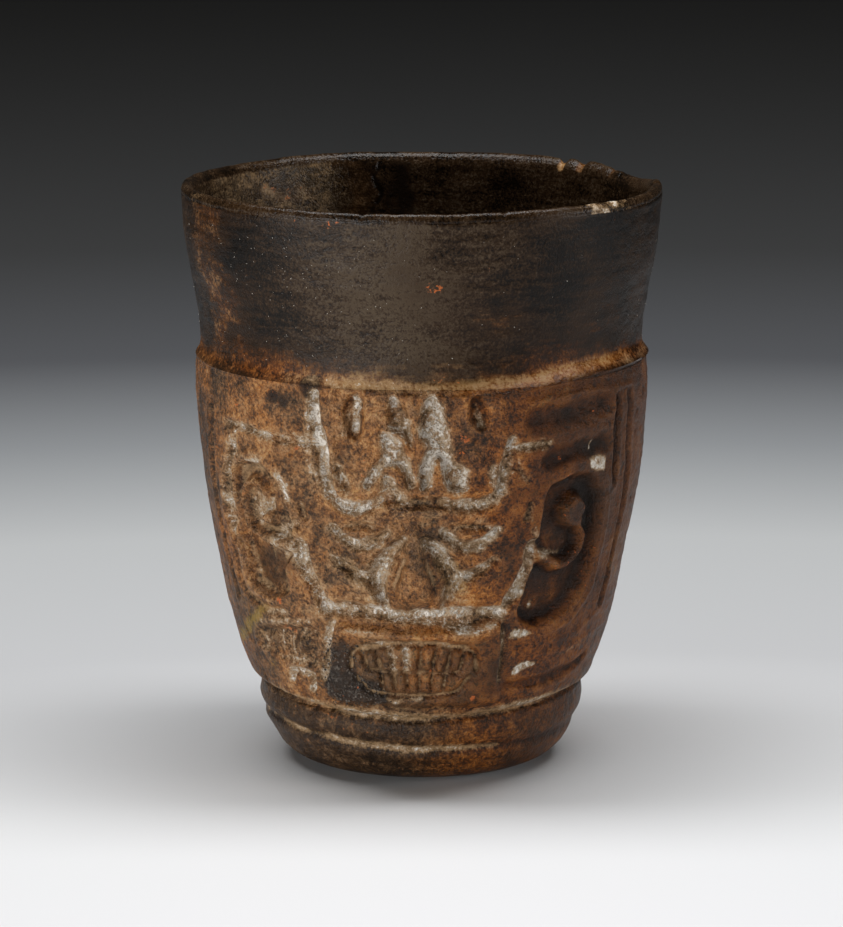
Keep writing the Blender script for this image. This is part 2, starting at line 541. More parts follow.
def press_mouth(clay):
    slab = patch(clay, [(-21.4, PANEL_TOP), (-10, PANEL_TOP - 0.5), (0, PANEL_TOP - 0.9),
                        (10, PANEL_TOP - 0.7), (19.4, PANEL_TOP + 0.1), (20.6, 34), (21.6, 27),
                        (22, PANEL_FOOT), (8, PANEL_FOOT - 0.6), (-12, PANEL_FOOT - 0.4),
                        (-26.8, PANEL_FOOT), (-25.4, 29), (-23.6, 36)])
    swell(clay, slab, 1.1, 1.6)
    swell(clay, stroke(clay, [(-19.6, 38.4), (-9, 38.2), (2, 38.1), (10, 38.4), (18.2, 38.8)], 3.8), 2, 1.9)
    cut(clay, stroke(clay, [(-22.6, 40.4), (-24.6, 35), (-26.2, 30), (-28, 26)], [1.6, 2.2, 2.2, 1.2]),
        1, 0.72)
    cut(clay, stroke(clay, [(20.8, 40.8), (20.9, 34), (21.6, 26)], [1, 0.9, 0.7]), 0.5, 0.42, 0.5)
    middle = MASK_MIDDLE - 0.6
    chin = [(-25, 43.8), (-15, 43.7), (-6, 42.9), (2, 42.7), (9, 42.6), (19.6, 42.6)]
    cut(clay, stroke(clay, chin, [2.4, 3.2, 3, 3.4, 4.2, 2.6]), 1.6, 0.85, 1.1)
    mark(clay, stroke(clay, [(4, 41.6), (10, 40.2), (17.6, 40)], [2, 3, 1.6]), "lime", 0.9)
    mark(clay, stroke(clay, [(-20, 39.4), (-6, 39), (6, 39), (18.6, 39.6)], 2.4), "gloss", 1)
    mark(clay, stroke(clay, [(-20, 38.9), (-12, 38.8)], 0.9), "lime", 0.75)
    top = [(middle - MOUTH_HALF, MOUTH_LINE), (middle - 0.86 * MOUTH_HALF, MOUTH_LINE + 0.72 * MOUTH_RISE),
           (middle, MOUTH_LINE + MOUTH_RISE), (middle + 0.86 * MOUTH_HALF, MOUTH_LINE + 0.72 * MOUTH_RISE),
           (middle + MOUTH_HALF, MOUTH_LINE)]
    cut(clay, stroke(clay, top, [1.2, 1.6, 1.7, 1.6, 1.2]), 0.26, 0.2)
    mark(clay, stroke(clay, [(-16, 35.6), (-8, 36.5), (-1, 36.4)], 1), "lime", 0.7)
    foot = [(middle - 0.9 * MOUTH_HALF, MOUTH_LINE - 2), (middle - 0.6 * MOUTH_HALF, MOUTH_LINE - 5.6),
            (middle + 0.6 * MOUTH_HALF, MOUTH_LINE - 5.6), (middle + 0.9 * MOUTH_HALF, MOUTH_LINE - 2)]
    cut(clay, stroke(clay, foot, 1.3), 0.2)
    parting = [(middle - 11, MOUTH_LINE), (middle, MOUTH_LINE - 0.4), (middle + 11, MOUTH_LINE)]
    cut(clay, stroke(clay, parting, 0.9), 0.24, 0.15, 0.8)
    for tooth in range(TEETH):
        out = (tooth - (TEETH - 1) / 2) * TOOTH_PITCH
        lean = 0.07 * out
        lime = 0.8 if tooth in (2, 3) else 0.16
        upper = [(middle + out + lean, MOUTH_LINE + 5.4), (middle + out - lean, MOUTH_LINE + 1)]
        cut(clay, stroke(clay, upper, [1, 1.3]), 0.22, lime, 0.8)
        if 0 < tooth < TEETH - 1:
            lower = [(middle + out - lean, MOUTH_LINE - 1), (middle + 0.9 * out, MOUTH_LINE - 4.6)]
            cut(clay, stroke(clay, lower, [1.1, 0.8]), 0.2, 0.1, 0.8)
    mouth = patch(clay, [(-22, 36), (-10, 37), (10, 37), (20, 35), (20, 21), (-24, 21)])
    mark(clay, mouth, "soot", 0.5, 2)
    crust = patch(clay, [(-28, 25), (-26, 33), (-20, 36), (-16, 34.6), (-16, 29), (-12, 26.6), (-9, 23),
                         (-10, 20.6), (-18, 20.2), (-27, 21.5)])
    mark(clay, crust, "crust", 1, 2)
    for points in ([(-9.4, 22.2), (-7, 21.6), (-5, 22.2)], [(-4.4, 23), (-2, 22.4), (0, 22.6)]):
        mark(clay, stroke(clay, points, 0.9), "lime", 0.75)
    rust = [((14, 22.3), 0.9), ((2.6, 29.4), 0.8), ((-17.5, 29), 0.5), ((-17, 25), 0.4), ((5, 24.6), 0.5)]
    flecks(clay, rust, "rust", 1, 0.5)


print(f"{TEETH} tooth cuts above and {TEETH - 2} below, {TOOTH_PITCH} mm apart")

# %% [markdown]
# ## The ears
#
# At each side a scroll ear fills the wall: a broad arched band, a sunk field inside it, and a hook with a
# ball end that curls through the field. The two ears were pressed from one idea but not as mirror images,
# and they have aged differently. The left one is bright with lime, and the right one is dark. So each has
# its own list of forms: the field first, then what stands in it.

# %% The viewer's left ear
def press_left_ear(clay):
    cut(clay, stroke(clay, [(-50.2, 83), (-49.7, 77)], [1.6, 1.2]), 0.9, 0.75)
    cut(clay, stroke(clay, [(-47.4, 81.6), (-47.4, 77.2)], [1, 0.7]), 0.7, 0.7)
    mark(clay, stroke(clay, [(-50.6, 83), (-47.6, 83.1), (-44.2, 82.9)], [1, 1.6, 1.2]), "lime", 1)
    for spot in (-41, -36, -29):
        mark(clay, disc(clay, (spot, 82.3), (1.1, 0.8)), "lime", 0.95)
    cut(clay, stroke(clay, [(-48.6, 77.6), (-51.6, 71.6), (-53, 65.6), (-53.4, 60), (-52.9, 56)],
                     [1.8, 3.8, 4.2, 3.6, 1.4]), 1.6, 0.8)
    mark(clay, stroke(clay, [(-51.4, 71.4), (-52.8, 65.6), (-53.2, 60)], [1.6, 2.2, 1.8]), "lime", 1)
    field = [(-48.4, 70), (-46.6, 73.2), (-41.4, 74.6), (-36.4, 72.2), (-33.6, 67), (-31.6, 61), (-32, 55.4),
             (-35.6, 51.4), (-36, 46), (-42, 44.6), (-48.6, 46), (-50.4, 52), (-50.6, 60)]
    cut(clay, patch(clay, field), 2.3, 0, 1.6)
    swell(clay, stroke(clay, [(-46.6, 76.4), (-41, 77.6), (-36.6, 76.4), (-33, 73.6), (-30.8, 70.4),
                              (-30.2, 65.6)], [2, 2.6, 2.6, 2.6, 2.4, 2]), 0.55)
    mark(clay, stroke(clay, [(-43, 75.7), (-39.4, 75.8)], 1.8), "lime", 0.82)
    mark(clay, stroke(clay, [(-34.2, 73.2), (-32.2, 70.8), (-31.2, 67.6)], [1.8, 2.4, 1.4]), "lime", 0.85)
    mark(clay, stroke(clay, [(-46, 76.2), (-41, 77.4), (-37, 76.4), (-33, 73.6)], 1.2), "lime", 0.5)
    dark_ring = [(-49, 67), (-46.4, 72.6), (-41, 74), (-36.4, 71.6), (-34, 66.4)]
    cut(clay, stroke(clay, dark_ring, [1.8, 2.2, 2.4, 2.2, 1.6]), 1.7)
    mark(clay, stroke(clay, dark_ring, 1.8), "soot", 0.66)
    hook = [(-31, 57), (-37, 57), (-43.4, 58.4), (-47.6, 62.6), (-46.8, 68.6), (-42.4, 70.6), (-38.6, 68.6)]
    swell(clay, stroke(clay, hook, [3.8, 4.4, 3.6, 2.6, 2.4, 2.4, 2.4]), 0.1, 1.8)
    comma = [(-46.2, 66), (-43.2, 68.8), (-40, 67.2), (-37, 68.9), (-37.3, 65), (-41, 62.2), (-43.2, 60.2),
             (-45.4, 62)]
    cut(clay, patch(clay, comma), 1.1)
    mark(clay, patch(clay, comma), "lime", 0.62)
    mark(clay, patch(clay, comma), "ochre", 0.36)
    swell(clay, disc(clay, (-38.8, 62.6), (2.8, 2.1)), 0.3, 1.6)
    cut(clay, disc(clay, (-33.6, 64), (2, 1.7)), 1.7)
    mark(clay, disc(clay, (-33.4, 64.4), (1.5, 1.2)), "rust", 0.8)
    mark(clay, disc(clay, (-34.4, 63.6), (1.8, 1.6)), "soot", 0.5)
    cut(clay, stroke(clay, [(-36.6, 59.6), (-33, 61.4), (-29.4, 62.8)], 1.5), 0.9, 0.65)
    pale = patch(clay, [(-39, 55.4), (-37.6, 59.4), (-30.4, 59.6), (-29.6, 54.6), (-34, 53.8)])
    mark(clay, pale, "lime", 0.64, 1.4)
    for outline in ([(-48.6, 56), (-41, 56.4), (-39.6, 51.4), (-44, 49.6), (-48, 51)],
                    [(-48.6, 49.6), (-37, 50), (-36, 45.6), (-42, 44.8), (-47.6, 46)]):
        press(clay, patch(clay, outline), -2.3, 2.4)
    mark(clay, patch(clay, [(-49, 54), (-40, 54.6), (-31, 54), (-32, 50), (-37, 46.6), (-48, 45)]), "soot",
         0.62, 3)
    mark(clay, stroke(clay, [(-48, 47.4), (-45.6, 51.4), (-41.6, 53)], [2, 3.4, 2.4]), "soot", 0.72, 2)
    cut(clay, stroke(clay, [(-53.6, 56), (-54.6, 50), (-52.6, 44), (-46, 40.8), (-38, 40.4)], 1.8), 0.8, 0.1)
    mark(clay, disc(clay, (-31.5, 48.3), (0.9, 0.5)), "lime", 1, 0.4)
    cut(clay, stroke(clay, [(-58, 86), (-59.6, 76), (-60.4, 64), (-59.6, 50), (-57.6, 42)], 2), 0.8, 0.12)
    flecks(clay, [((-33, 65.2), 0.8), ((-38, 43), 0.9), ((-28.6, 80.6), 0.8), ((-46, 88), 0.6)], "rust",
           0.85, 0.6)


# %% The viewer's right ear
def press_right_ear(clay):
    gloom = [(24, 90), (40, 92), (52, 88), (54, 70), (52, 52), (44, 42), (30, 38), (24, 44), (27, 58),
             (29, 66), (25, 74)]
    mark(clay, patch(clay, gloom), "soot", 0.44, 4)
    upper = [(24.4, 85), (24.8, 89), (34, 89.6), (46, 90), (46.6, 86.4), (34, 84.4)]
    lower = [(28.6, 76), (29.6, 79.4), (42, 80.8), (47, 80), (46.6, 77.2), (40, 76.2), (34, 75)]
    for outline in (upper, lower):
        cut(clay, patch(clay, outline), 1.2, 0, 1.9)
        mark(clay, patch(clay, outline), "soot", 0.62, 2.4)
    swell(clay, stroke(clay, [(22, 82), (30, 82.8), (40, 83.2), (48, 82.4)], [1.2, 1.8, 1.8, 1.4]), 0.4)
    swell(clay, stroke(clay, [(24, 91), (40, 91.6), (58, 91)], 1.6), 0.4)
    cut(clay, stroke(clay, [(50.4, 89), (50.8, 80), (51.6, 69)], [1.4, 1.8, 1.2]), 1.3)
    mark(clay, stroke(clay, [(50.4, 89), (50.8, 80), (51.6, 69)], 1.8), "soot", 0.7)
    cut(clay, stroke(clay, [(56, 89), (57.6, 76), (58.2, 62), (57.2, 48), (55, 40)], 1.8), 0.9)
    mark(clay, stroke(clay, [(56, 89), (57.6, 76), (58.2, 62)], 1.4), "soot", 0.5)
    field = [(29.6, 69), (33.4, 72), (41, 72.2), (45.2, 69.2), (47, 63.6), (47.4, 56), (46.6, 50),
             (44.2, 44.6), (40, 41.2), (34, 38.9), (27.4, 38.8), (25.2, 43), (26.6, 49), (28, 53),
             (27.6, 57), (29.4, 63)]
    cut(clay, patch(clay, field), 2.9, 0, 1.6)
    mark(clay, patch(clay, field), "soot", 0.66, 2.2)
    arch = [(28.4, 73.4), (34, 75), (41.6, 75.2), (47, 71.2), (49.6, 64.6), (50.2, 56), (49.4, 49.4),
            (46.8, 43), (41.6, 38.6), (34, 36.2), (26.4, 35.8)]
    swell(clay, stroke(clay, arch, [1.6, 2.2, 2.4, 2.6, 2.8, 2.8, 2.8, 2.8, 2.6, 2.2, 1.8]), 0.5)
    stem = [(40.4, 62), (43, 58), (41.4, 54), (37, 52), (31.4, 54), (26.4, 57.4)]
    swell(clay, stroke(clay, stem, [3.4, 3.4, 3.6, 3.8, 4.2, 4]), -0.15, 1.7)
    swell(clay, disc(clay, (38.6, 64.2), (4.9, 4.9)), 0.15, 2.4)
    cut(clay, disc(clay, (35.6, 58.2), (2, 1.9)), 2.6)
    mark(clay, disc(clay, (35.6, 58.2), (1.8, 1.7)), "soot", 0.9)
    mark(clay, stroke(clay, [(27, 57.4), (30.4, 55.8), (36.4, 54.6)], [2.6, 2.2, 1]), "lime", 0.66)
    mark(clay, stroke(clay, [(26.2, 61.4), (28.4, 58.4)], [1.6, 2.6]), "lime", 0.68)
    mark(clay, disc(clay, (29.5, 43), (0.7, 0.9)), "lime", 0.8, 0.5)
    mark(clay, disc(clay, (27, 43), (0.4, 0.5)), "lime", 0.8, 0.4)
    mark(clay, patch(clay, [(41.4, 75.6), (44, 76.4), (46.8, 75), (46, 73), (43, 73)]), "lime", 0.95, 0.6)
    mark(clay, stroke(clay, [(42.3, 78.2), (42.4, 80.2)], 0.6), "lime", 0.9, 0.4)
    flecks(clay, [((41, 88), 0.6), ((45, 90.4), 0.5), ((33, 77.6), 0.6), ((43, 86.6), 0.5)], "rust",
           0.85, 0.6)


print("both ears have their forms")

# %% [markdown]
# ## The strips below the ears
#
# Beside the mouth panel lie a sunk strip with two studs, a small bracket and, on the right, two low ribs.
# Lime sticks to their edges in short pale strokes. An ochre stain crosses the far left.

# %% The lower strips
def press_lower_strips(clay):
    cell = [(-27.4, 37.6), (-38, 37.2), (-48, 35.4), (-50.6, 31.6), (-44, 30.4), (-28.4, 30)]
    cut(clay, patch(clay, cell), 1, 0, 0.9)
    mark(clay, patch(clay, cell), "lime", 0.3)
    for centre, radii in (((-44, 33.4), (2.4, 1.8)), ((-33, 33.2), (3.1, 2.1))):
        swell(clay, disc(clay, centre, radii), 0.15, 1.6)
        mark(clay, disc(clay, centre, radii), "soot", 0.45, 1)
    for top, foot in (((-39.8, 35.9), (-41, 31.2)), ((-36.2, 35), (-37.2, 31.2)), ((-47.4, 35), (-48, 32))):
        swell(clay, stroke(clay, [top, foot], 1), -0.2, 0.7)
        mark(clay, stroke(clay, [top, foot], 0.9), "lime", 0.75, 0.5)
    cut(clay, stroke(clay, [(-51, 30.8), (-42, 29.4), (-33, 29.2), (-28, 29.8)], 1.3), 0.6, 0.5)
    for points in ([(-47, 37), (-38, 38.6), (-29, 39.6)], [(-44, 39.6), (-36, 40.4)],
                   [(-33, 36), (-28.6, 36.6)]):
        mark(clay, stroke(clay, points, 2), "lime", 0.52, 1)
    bracket = [(-39.2, 24.8), (-38, 26), (-34.6, 26.6), (-31.8, 26), (-31.9, 24), (-32.6, 22.2)]
    cut(clay, stroke(clay, bracket, [2, 1.8, 1.4, 1.6, 1.3, 1.2]), 0.9, 0.82, 0.6)
    mark(clay, stroke(clay, [(-67, 29.4), (-58, 33.2), (-50, 37), (-44.6, 41)], [3.4, 3.6, 3.4, 2]),
         "ochre", 0.72, 1.4)
    mark(clay, disc(clay, (-46, 27), (3.4, 1.6)), "ochre", 0.5, 1.2)
    mark(clay, stroke(clay, [(-38.6, 37), (-34.6, 36.2)], [1.4, 1.4]), "rust", 0.66, 1.2)
    for points in ([(23, 33), (32, 31.4), (42, 31.2), (54, 33)], [(24, 35), (34, 34), (46, 35), (54, 38)]):
        swell(clay, stroke(clay, points, 1.6), 0.35)
    cut(clay, stroke(clay, [(24, 24.6), (34, 24), (44, 25), (54, 27.6)], [1.4, 2.4, 2.4, 1.4]), 0.7)
    mark(clay, disc(clay, (39.4, 24.6), (2.8, 2.6)), "soot", 0.55, 1.4)
    mark(clay, patch(clay, [(22.4, 36.2), (24, 38), (27, 37.6), (29, 37), (27.6, 36.2), (24.6, 35.8)]),
         "lime", 0.95, 0.6)
    mark(clay, patch(clay, [(25, 27.6), (26, 29.4), (29, 29.8), (32.4, 29.2), (30, 28.2), (27, 27.2)]),
         "lime", 1, 0.5)
    mark(clay, stroke(clay, [(40, 30), (48, 30.8), (55, 32.2)], 0.7), "lime", 0.45, 0.6)


print("the lower strips have their forms")

# %% [markdown]
# ## Age
#
# The finishes that cross from part to part are laid on world places, the same way on every piece. Smoke
# left the collar brown-black, and it is rubbed brown in patches at its left side and along its foot. The
# relief is worn brown, cooler at the left of the base and warmer at the right. Lime lies along the ledge
# and in both creases near the foot.

# %% The finishes that run over the whole cup
RELIEF_WORN = 0.78
COLLAR_WORN = 0.02


def age(clay):
    """Adds what time did to a piece; its points keep the cup's own chart, back half included."""
    s, z = clay.place
    finish = clay.finish
    ledge = ledge_step(s, z)
    above_ledge = z - through(LEDGE_LINE, s)
    cloud = unevenness(s, z, 16, 12, 21)
    small = unevenness(s, z, 5, 4, 22)
    # How far wear has reached the brown: the relief, the base, then the rubbed places of the collar
    worn = RELIEF_WORN + 0.14 * cloud + (COLLAR_WORN - RELIEF_WORN - 0.02 * cloud) * ledge
    worn -= 0.24 * soft(s, 16, 42) * soft(-s, -100, -70) * (1 - ledge)
    below = soft(-z, -22, -15)
    worn += (0.46 - worn) * below * soft(-s, -26, 2) * (abs(s) < HALF_TURN / 2)
    left_rub = bell(s + 53, 9) * (0.46 + 0.2 * small) * soft(z, 96, 104)
    foot_rub = bell(z - 98.5, 3.4) * (0.24 + 0.3 * bell(s + 42, 17) + 0.12 * small - 0.1 * soft(s, 0, 40))
    right_rub = (0.3 + 0.14 * cloud) * bell(s - 28, 26) * soft(-z, -128, -104)
    edge_rub = 0.1 * bell(s - 66, 12)
    fold = 0.7 * bell(above_ledge - 1.6, 2)
    worn += ledge * (left_rub + foot_rub + right_rub + edge_rub) + 0.8 * fold * soft(ledge, 0.2, 0.8)
    lay(finish, "worn", np.clip(worn, 0, 1))
    lay(finish, "gloss", fold * soft(s, -30, 20))
    speckle = 0.17 * bell(s + 54, 8) * soft(z, 97, 104) * (0.7 + small)
    lay(finish, "dust", np.clip(speckle, 0, 1))
    lay(finish, "dust", 0.42 * bell(above_ledge - 2.4, 1.3) * soft(s, 4, 14) * soft(-s, -48, -38))
    shade = 0.15 + 0.05 * cloud + 0.26 * soft(s, 12, 34) * soft(-s, -90, -60) + 0.05 * small
    shade *= 1 - 0.5 * soft(s, 18, 32) * soft(-z, -48, -32)
    lay(finish, "soot", shade * (1 - ledge) * soft(z, 14, 24) + 0.1 * soft(-z, -24, -14))
    lay(finish, "rust", (0.16 + 0.06 * cloud) * (1 - 0.55 * ledge))
    warm = 0.38 + 0.5 * soft(s, -6, 32) - 0.4 * below * soft(-s, -10, 24) + 0.12 * cloud + ledge * 0.25
    finish["warm"] = np.clip(warm, 0, 1)
    # Lime along each line: how far above it, how wide, and how much
    ledge_lime = 0.16 + 0.1 * cloud + 0.08 * small + 0.26 * bell(s + 8, 12) - 0.12 * soft(-s, 24, 34)
    foot_lime = 0.3 + 0.42 * bell(s + 18, 16) + 0.5 * bell(s - 34, 10) + 0.12 * small
    bowl_lime = 0.3 + 0.34 * bell(s + 10, 26) + 0.16 * small - 0.4 * soft(s, 20, 30)
    lines = (
        (LEDGE_LINE, 1.7, 1.4, ledge_lime),
        (FOOT_CREASE, 0.2, 1.2, foot_lime),
        (BOWL_CREASE, 0.1, 0.9, bowl_lime),
    )
    for line, lift, width, amount in lines:
        along = amount * bell(z - through(line, s) - lift, width)
        lay(finish, "lime", np.clip(along, 0, 1))
        lay(finish, "dust", np.clip(1.7 * along, 0, 0.7))
    smudges = (
        ((-25, 94.4), (2.8, 2.6), 1),
        ((-34.6, 91), (1.8, 1.7), 0.9),
        ((-31.6, 90.4), (1.5, 1.8), 0.9),
        ((-39.6, 91.6), (0.8, 0.8), 0.9),
        ((-36.4, 90.6), (0.5, 0.9), 0.8),
    )
    for place, radii, amount in smudges:
        mark(clay, disc(clay, place, radii), "soot", amount, 0.7)
    rust = [((2.5, 117.5), (2, 1.6)), ((4, 97), (2.4, 0.9)), ((14, 121), (0.6, 0.6)),
            ((-18, 131.4), (1.6, 0.9)), ((-26, 131), (1.2, 0.8)), ((8, 96.4), (3, 0.8))]
    flecks(clay, rust, "rust", 0.62, 1)


print("age covers all four clay parts")

# %% [markdown]
# ## From clay to mesh
#
# A piece needs its points, its faces and its painted attributes. The finished height is blurred once and
# compared with itself: what lies lower than its surroundings is a hollow that stays dark, and what stands
# higher is a crest that wear makes lighter. That one number, called form, saves painting every edge.

# %% Writing a clay piece as a mesh
SHARP_ABOVE = math.radians(62)


def blurred(grid, steps):
    """A grid of heights, evened out with its neighbours `steps` times."""
    for _ in range(steps):
        grid = np.pad(grid, 1, mode="edge")
        beside = grid[:-2, 1:-1] + grid[2:, 1:-1] + grid[1:-1, :-2] + grid[1:-1, 2:]
        grid = (beside + 4 * grid[1:-1, 1:-1]) / 8
    return grid


def on_cup(radius, s, z):
    """Chart places at a radius, as points in metres. The front faces the negative Y axis."""
    turn = s / CHART_RADIUS
    return np.column_stack([radius * np.sin(turn), -radius * np.cos(turn), z]) * MM


def paint(mesh, finish, form):
    """Stores each finish and the form on the mesh's points."""
    # Bright lime always lies in a wider film of dust, so dust is at least as strong as lime
    dusty = np.maximum(finish["dust"], finish["lime"])
    for name, values in {**finish, "dust": dusty, "form": form}.items():
        layer = mesh.attributes.new(name, "FLOAT", "POINT")
        layer.data.foreach_set("value", np.clip(values, -1, 1).astype(np.float32))


def volume_of(mesh):
    """The signed volume in cubic centimetres: positive when the faces point outwards."""
    mesh.calc_loop_triangles()
    corners = np.empty(len(mesh.loop_triangles) * 3, np.int32)
    mesh.loop_triangles.foreach_get("vertices", corners)
    places = np.empty(len(mesh.vertices) * 3)
    mesh.vertices.foreach_get("co", places)
    a, b, c = places.reshape(-1, 3)[corners].reshape(-1, 3, 3).transpose(1, 0, 2)
    return float(np.einsum("ij,ij->i", a, np.cross(b, c)).sum() / 6 * 1e6)


def add_object(name, mesh):
    """Links a mesh to the scene as an object at the origin."""
    piece = bpy.data.objects.new(name, mesh)
    scene.collection.objects.link(piece)
    return piece


print(f"edges over {math.degrees(SHARP_ABOVE):.0f} degrees stay sharp")

# %% [markdown]
# ## The relief wall
#
# Each half of the relief wall is a closed shell: a fine grid outside, a coarse one inside, and flat faces
# where it meets the base, the collar and the other half. A pressed relief follows no simple rule, so this
# grid is built from numbers and not by a modifier. The inner grid has one line for every eight outside,
# and fans of triangles close the joint faces between them.

# %% The pressed clay of half a wall
COLUMNS = 432
ROWS = 216
COARSE = 8
BORE_LINE = [(17.5, 31.4), (21, 33.8), (27, 36), (35, 38.3), (43, 39.9), (57, 42.4), (71, 44.3), (85, 45.3),
             (94.5, 44.9)]
SMALL_GRAIN = 0.07
BROAD_GRAIN = 0.09
DEPTH = 1.25
FORM_BLUR = 60
FULL_FORM = 0.9
BACK_LIME = 0.75
INSIDE_WORN = 0.1


def mask_on(clay):
    """Presses the whole mask, from the broad fields to the small strokes."""
    press_right_ear(clay)
    press_left_ear(clay)
    press_lower_strips(clay)
    press_face(clay)
    dust_face(clay)
    press_headdress(clay)
    press_mouth(clay)
    raise_nose(clay)


def pressed_half(chart_s, z, s):
    """Presses the mask into half a wall, then adds crust, pits and the grain of the clay."""
    clay = Clay(chart_s, z)
    mask_on(clay)
    clay.place = (s, z)
    calm = soft(HALF_TURN / 2 - abs(chart_s), 0, 6)
    clay.rise *= calm
    crust = clay.finish["crust"] * calm
    clay.rise += crust * (0.3 * unevenness(s, z, 1.5, 1.5, 31) + 0.16 * unevenness(s, z, 0.8, 0.8, 32))
    clay.rise = DEPTH * blurred(clay.rise.reshape(ROWS + 1, COLUMNS + 1), 2).ravel()
    pits = soft(unevenness(s, z, 2.3, 2.3, 33), 0.62, 0.95)
    grain = SMALL_GRAIN * unevenness(s, z, 1.4, 1.4, 34) + BROAD_GRAIN * unevenness(s, z, 3.4, 3.4, 35)
    clay.rise += grain - 0.22 * pits
    clay.s, clay.z = s, z
    return clay


def form_of(clay, chart_s):
    """Hollows below 0 and crests above it. Soot and lime gather in hollows, and crests wear glossy."""
    height = clay.rise.reshape(ROWS + 1, COLUMNS + 1)
    form = ((height - blurred(height, FORM_BLUR)) / FULL_FORM).ravel()
    hollow = np.clip(-form, 0, 1)
    crest = np.clip(form, 0, 1)
    dark_side = soft(chart_s, 8, 30)
    under_ledge = soft(-clay.z, -90, -80)
    lay(clay.finish, "soot", hollow * (0.07 + 0.47 * dark_side))
    lay(clay.finish, "lime", 0.3 * hollow * (1 - dark_side) * under_ledge)
    lay(clay.finish, "dust", 0.7 * hollow * (1 - dark_side) * under_ledge)
    lay(clay.finish, "rust", 0.36 * crest * dark_side)
    lay(clay.finish, "gloss", 0.7 * crest * (1 - 0.6 * dark_side))
    form = 0.3 * crest - hollow * (0.45 + 0.55 * dark_side) + 0.12 * (1 - dark_side)
    form += 0.22 * soft(-chart_s, -6, 14) * soft(chart_s, -66, -46) - 0.12 * soft(-chart_s, 50, 64)
    return form


print(f"half a wall has {(COLUMNS + 1) * (ROWS + 1)} points outside")

# %% A closed half of relief wall
def fan(fine, coarse):
    """Triangles between a fine line of corners and a coarse one that runs beside it."""
    faces = []
    half = COARSE // 2
    for i in range(len(coarse) - 1):
        start = i * COARSE
        faces += [(coarse[i], fine[start + k], fine[start + k + 1]) for k in range(half)]
        faces.append((coarse[i], fine[start + half], coarse[i + 1]))
        faces += [(coarse[i + 1], fine[start + k], fine[start + k + 1]) for k in range(half, COARSE)]
    return faces


def closed_shell(name, outside, inside):
    """A mesh of a fine outer grid, a coarse inner one and the joint faces between their edges."""
    outer = np.arange(len(outside)).reshape(ROWS + 1, COLUMNS + 1)
    bore = len(outside) + np.arange(len(inside)).reshape(ROWS // COARSE + 1, COLUMNS // COARSE + 1)
    skin = np.stack([outer[:-1, :-1], outer[:-1, 1:], outer[1:, 1:], outer[1:, :-1]], -1).reshape(-1, 4)
    lining = np.stack([bore[:-1, :-1], bore[1:, :-1], bore[1:, 1:], bore[:-1, 1:]], -1).reshape(-1, 4)
    faces = skin.tolist() + lining.tolist()
    sides = (
        (outer[0], bore[0], True),
        (outer[-1], bore[-1], False),
        (outer[:, 0], bore[:, 0], False),
        (outer[:, -1], bore[:, -1], True),
    )
    for line, edge, turned in sides:
        for triangle in fan(line.tolist(), edge.tolist()):
            faces.append(triangle[::-1] if turned else triangle)
    mesh = bpy.data.meshes.new(name)
    mesh.from_pydata(np.vstack([outside, inside]).tolist(), [], faces)
    return mesh


def relief_wall(name, world_turn):
    """Half of the relief wall. The mask is drawn round its own middle, world_turn from the front."""
    columns = np.linspace(-HALF_TURN / 2, HALF_TURN / 2, COLUMNS + 1)
    rows = np.linspace(BASE_TOP, RELIEF_TOP, ROWS + 1)
    chart_s, z = (grid.ravel() for grid in np.meshgrid(columns, rows))
    s = chart_s + world_turn * CHART_RADIUS
    s = (s + HALF_TURN) % (2 * HALF_TURN) - HALF_TURN
    clay = pressed_half(chart_s, z, s)
    if world_turn:
        clay.finish["lime"] *= BACK_LIME
    age(clay)
    form = form_of(clay, chart_s)
    radius = wall_radius(s, z) + clay.rise * (1 - ledge_step(s, z)) * soft(z, BASE_TOP, BASE_TOP + 2.5)
    inner_s, inner_z = (grid.ravel() for grid in np.meshgrid(columns[::COARSE], rows[::COARSE]))
    inner = on_cup(through(BORE_LINE, inner_z), inner_s + world_turn * CHART_RADIUS, inner_z)
    mesh = closed_shell(name, on_cup(radius, s, z), inner)
    inside = np.zeros(len(inner))
    finish = {kind: np.concatenate([amount, inside]) for kind, amount in clay.finish.items()}
    finish["worn"][len(s):] = INSIDE_WORN
    paint(mesh, finish, np.concatenate([form, inside]))
    mesh.polygons.foreach_set("use_smooth", np.ones(len(mesh.polygons), bool))
    mesh.set_sharp_from_angle(angle=SHARP_ABOVE)
    mesh.validate()
    print(f"{name}: {len(mesh.polygons)} faces, {volume_of(mesh):.1f} cubic centimetres")
    return add_object(name, mesh)


front_wall = relief_wall("mask_wall_front", 0)
back_wall = relief_wall("mask_wall_back", math.pi)

# %% [markdown]
# ## Turning a section on the axis
#
# The base and the collar are round, so each is one section carried round the axis. Geometry Nodes does
# this well: a grid has a column for each step round and a row for each point of the section, and every
# grid point is moved to its section point, turned by its share of the circle. Sampling the section by
# index keeps its corners exact. The doubled points at the seam and on the axis are then merged. The tree
# also stores each point's row, so that the script can tell outside, lip and inside apart afterwards.

# %% The turning tree
def add_node(tree, kind, inputs=None, **settings):
    """Adds a node with its settings, and links or sets its inputs by name, identifier or number."""
    node = tree.nodes.new(kind)
    for name, value in settings.items():
        setattr(node, name, value)
    for key, value in (inputs or {}).items():
        if isinstance(key, str):
            socket = next(k for k in node.inputs if key in (k.identifier, k.name))
        else:
            socket = node.inputs[key]
        if isinstance(value, bpy.types.NodeSocket):
            tree.links.new(value, socket)
        else:
            socket.default_value = value
    return node


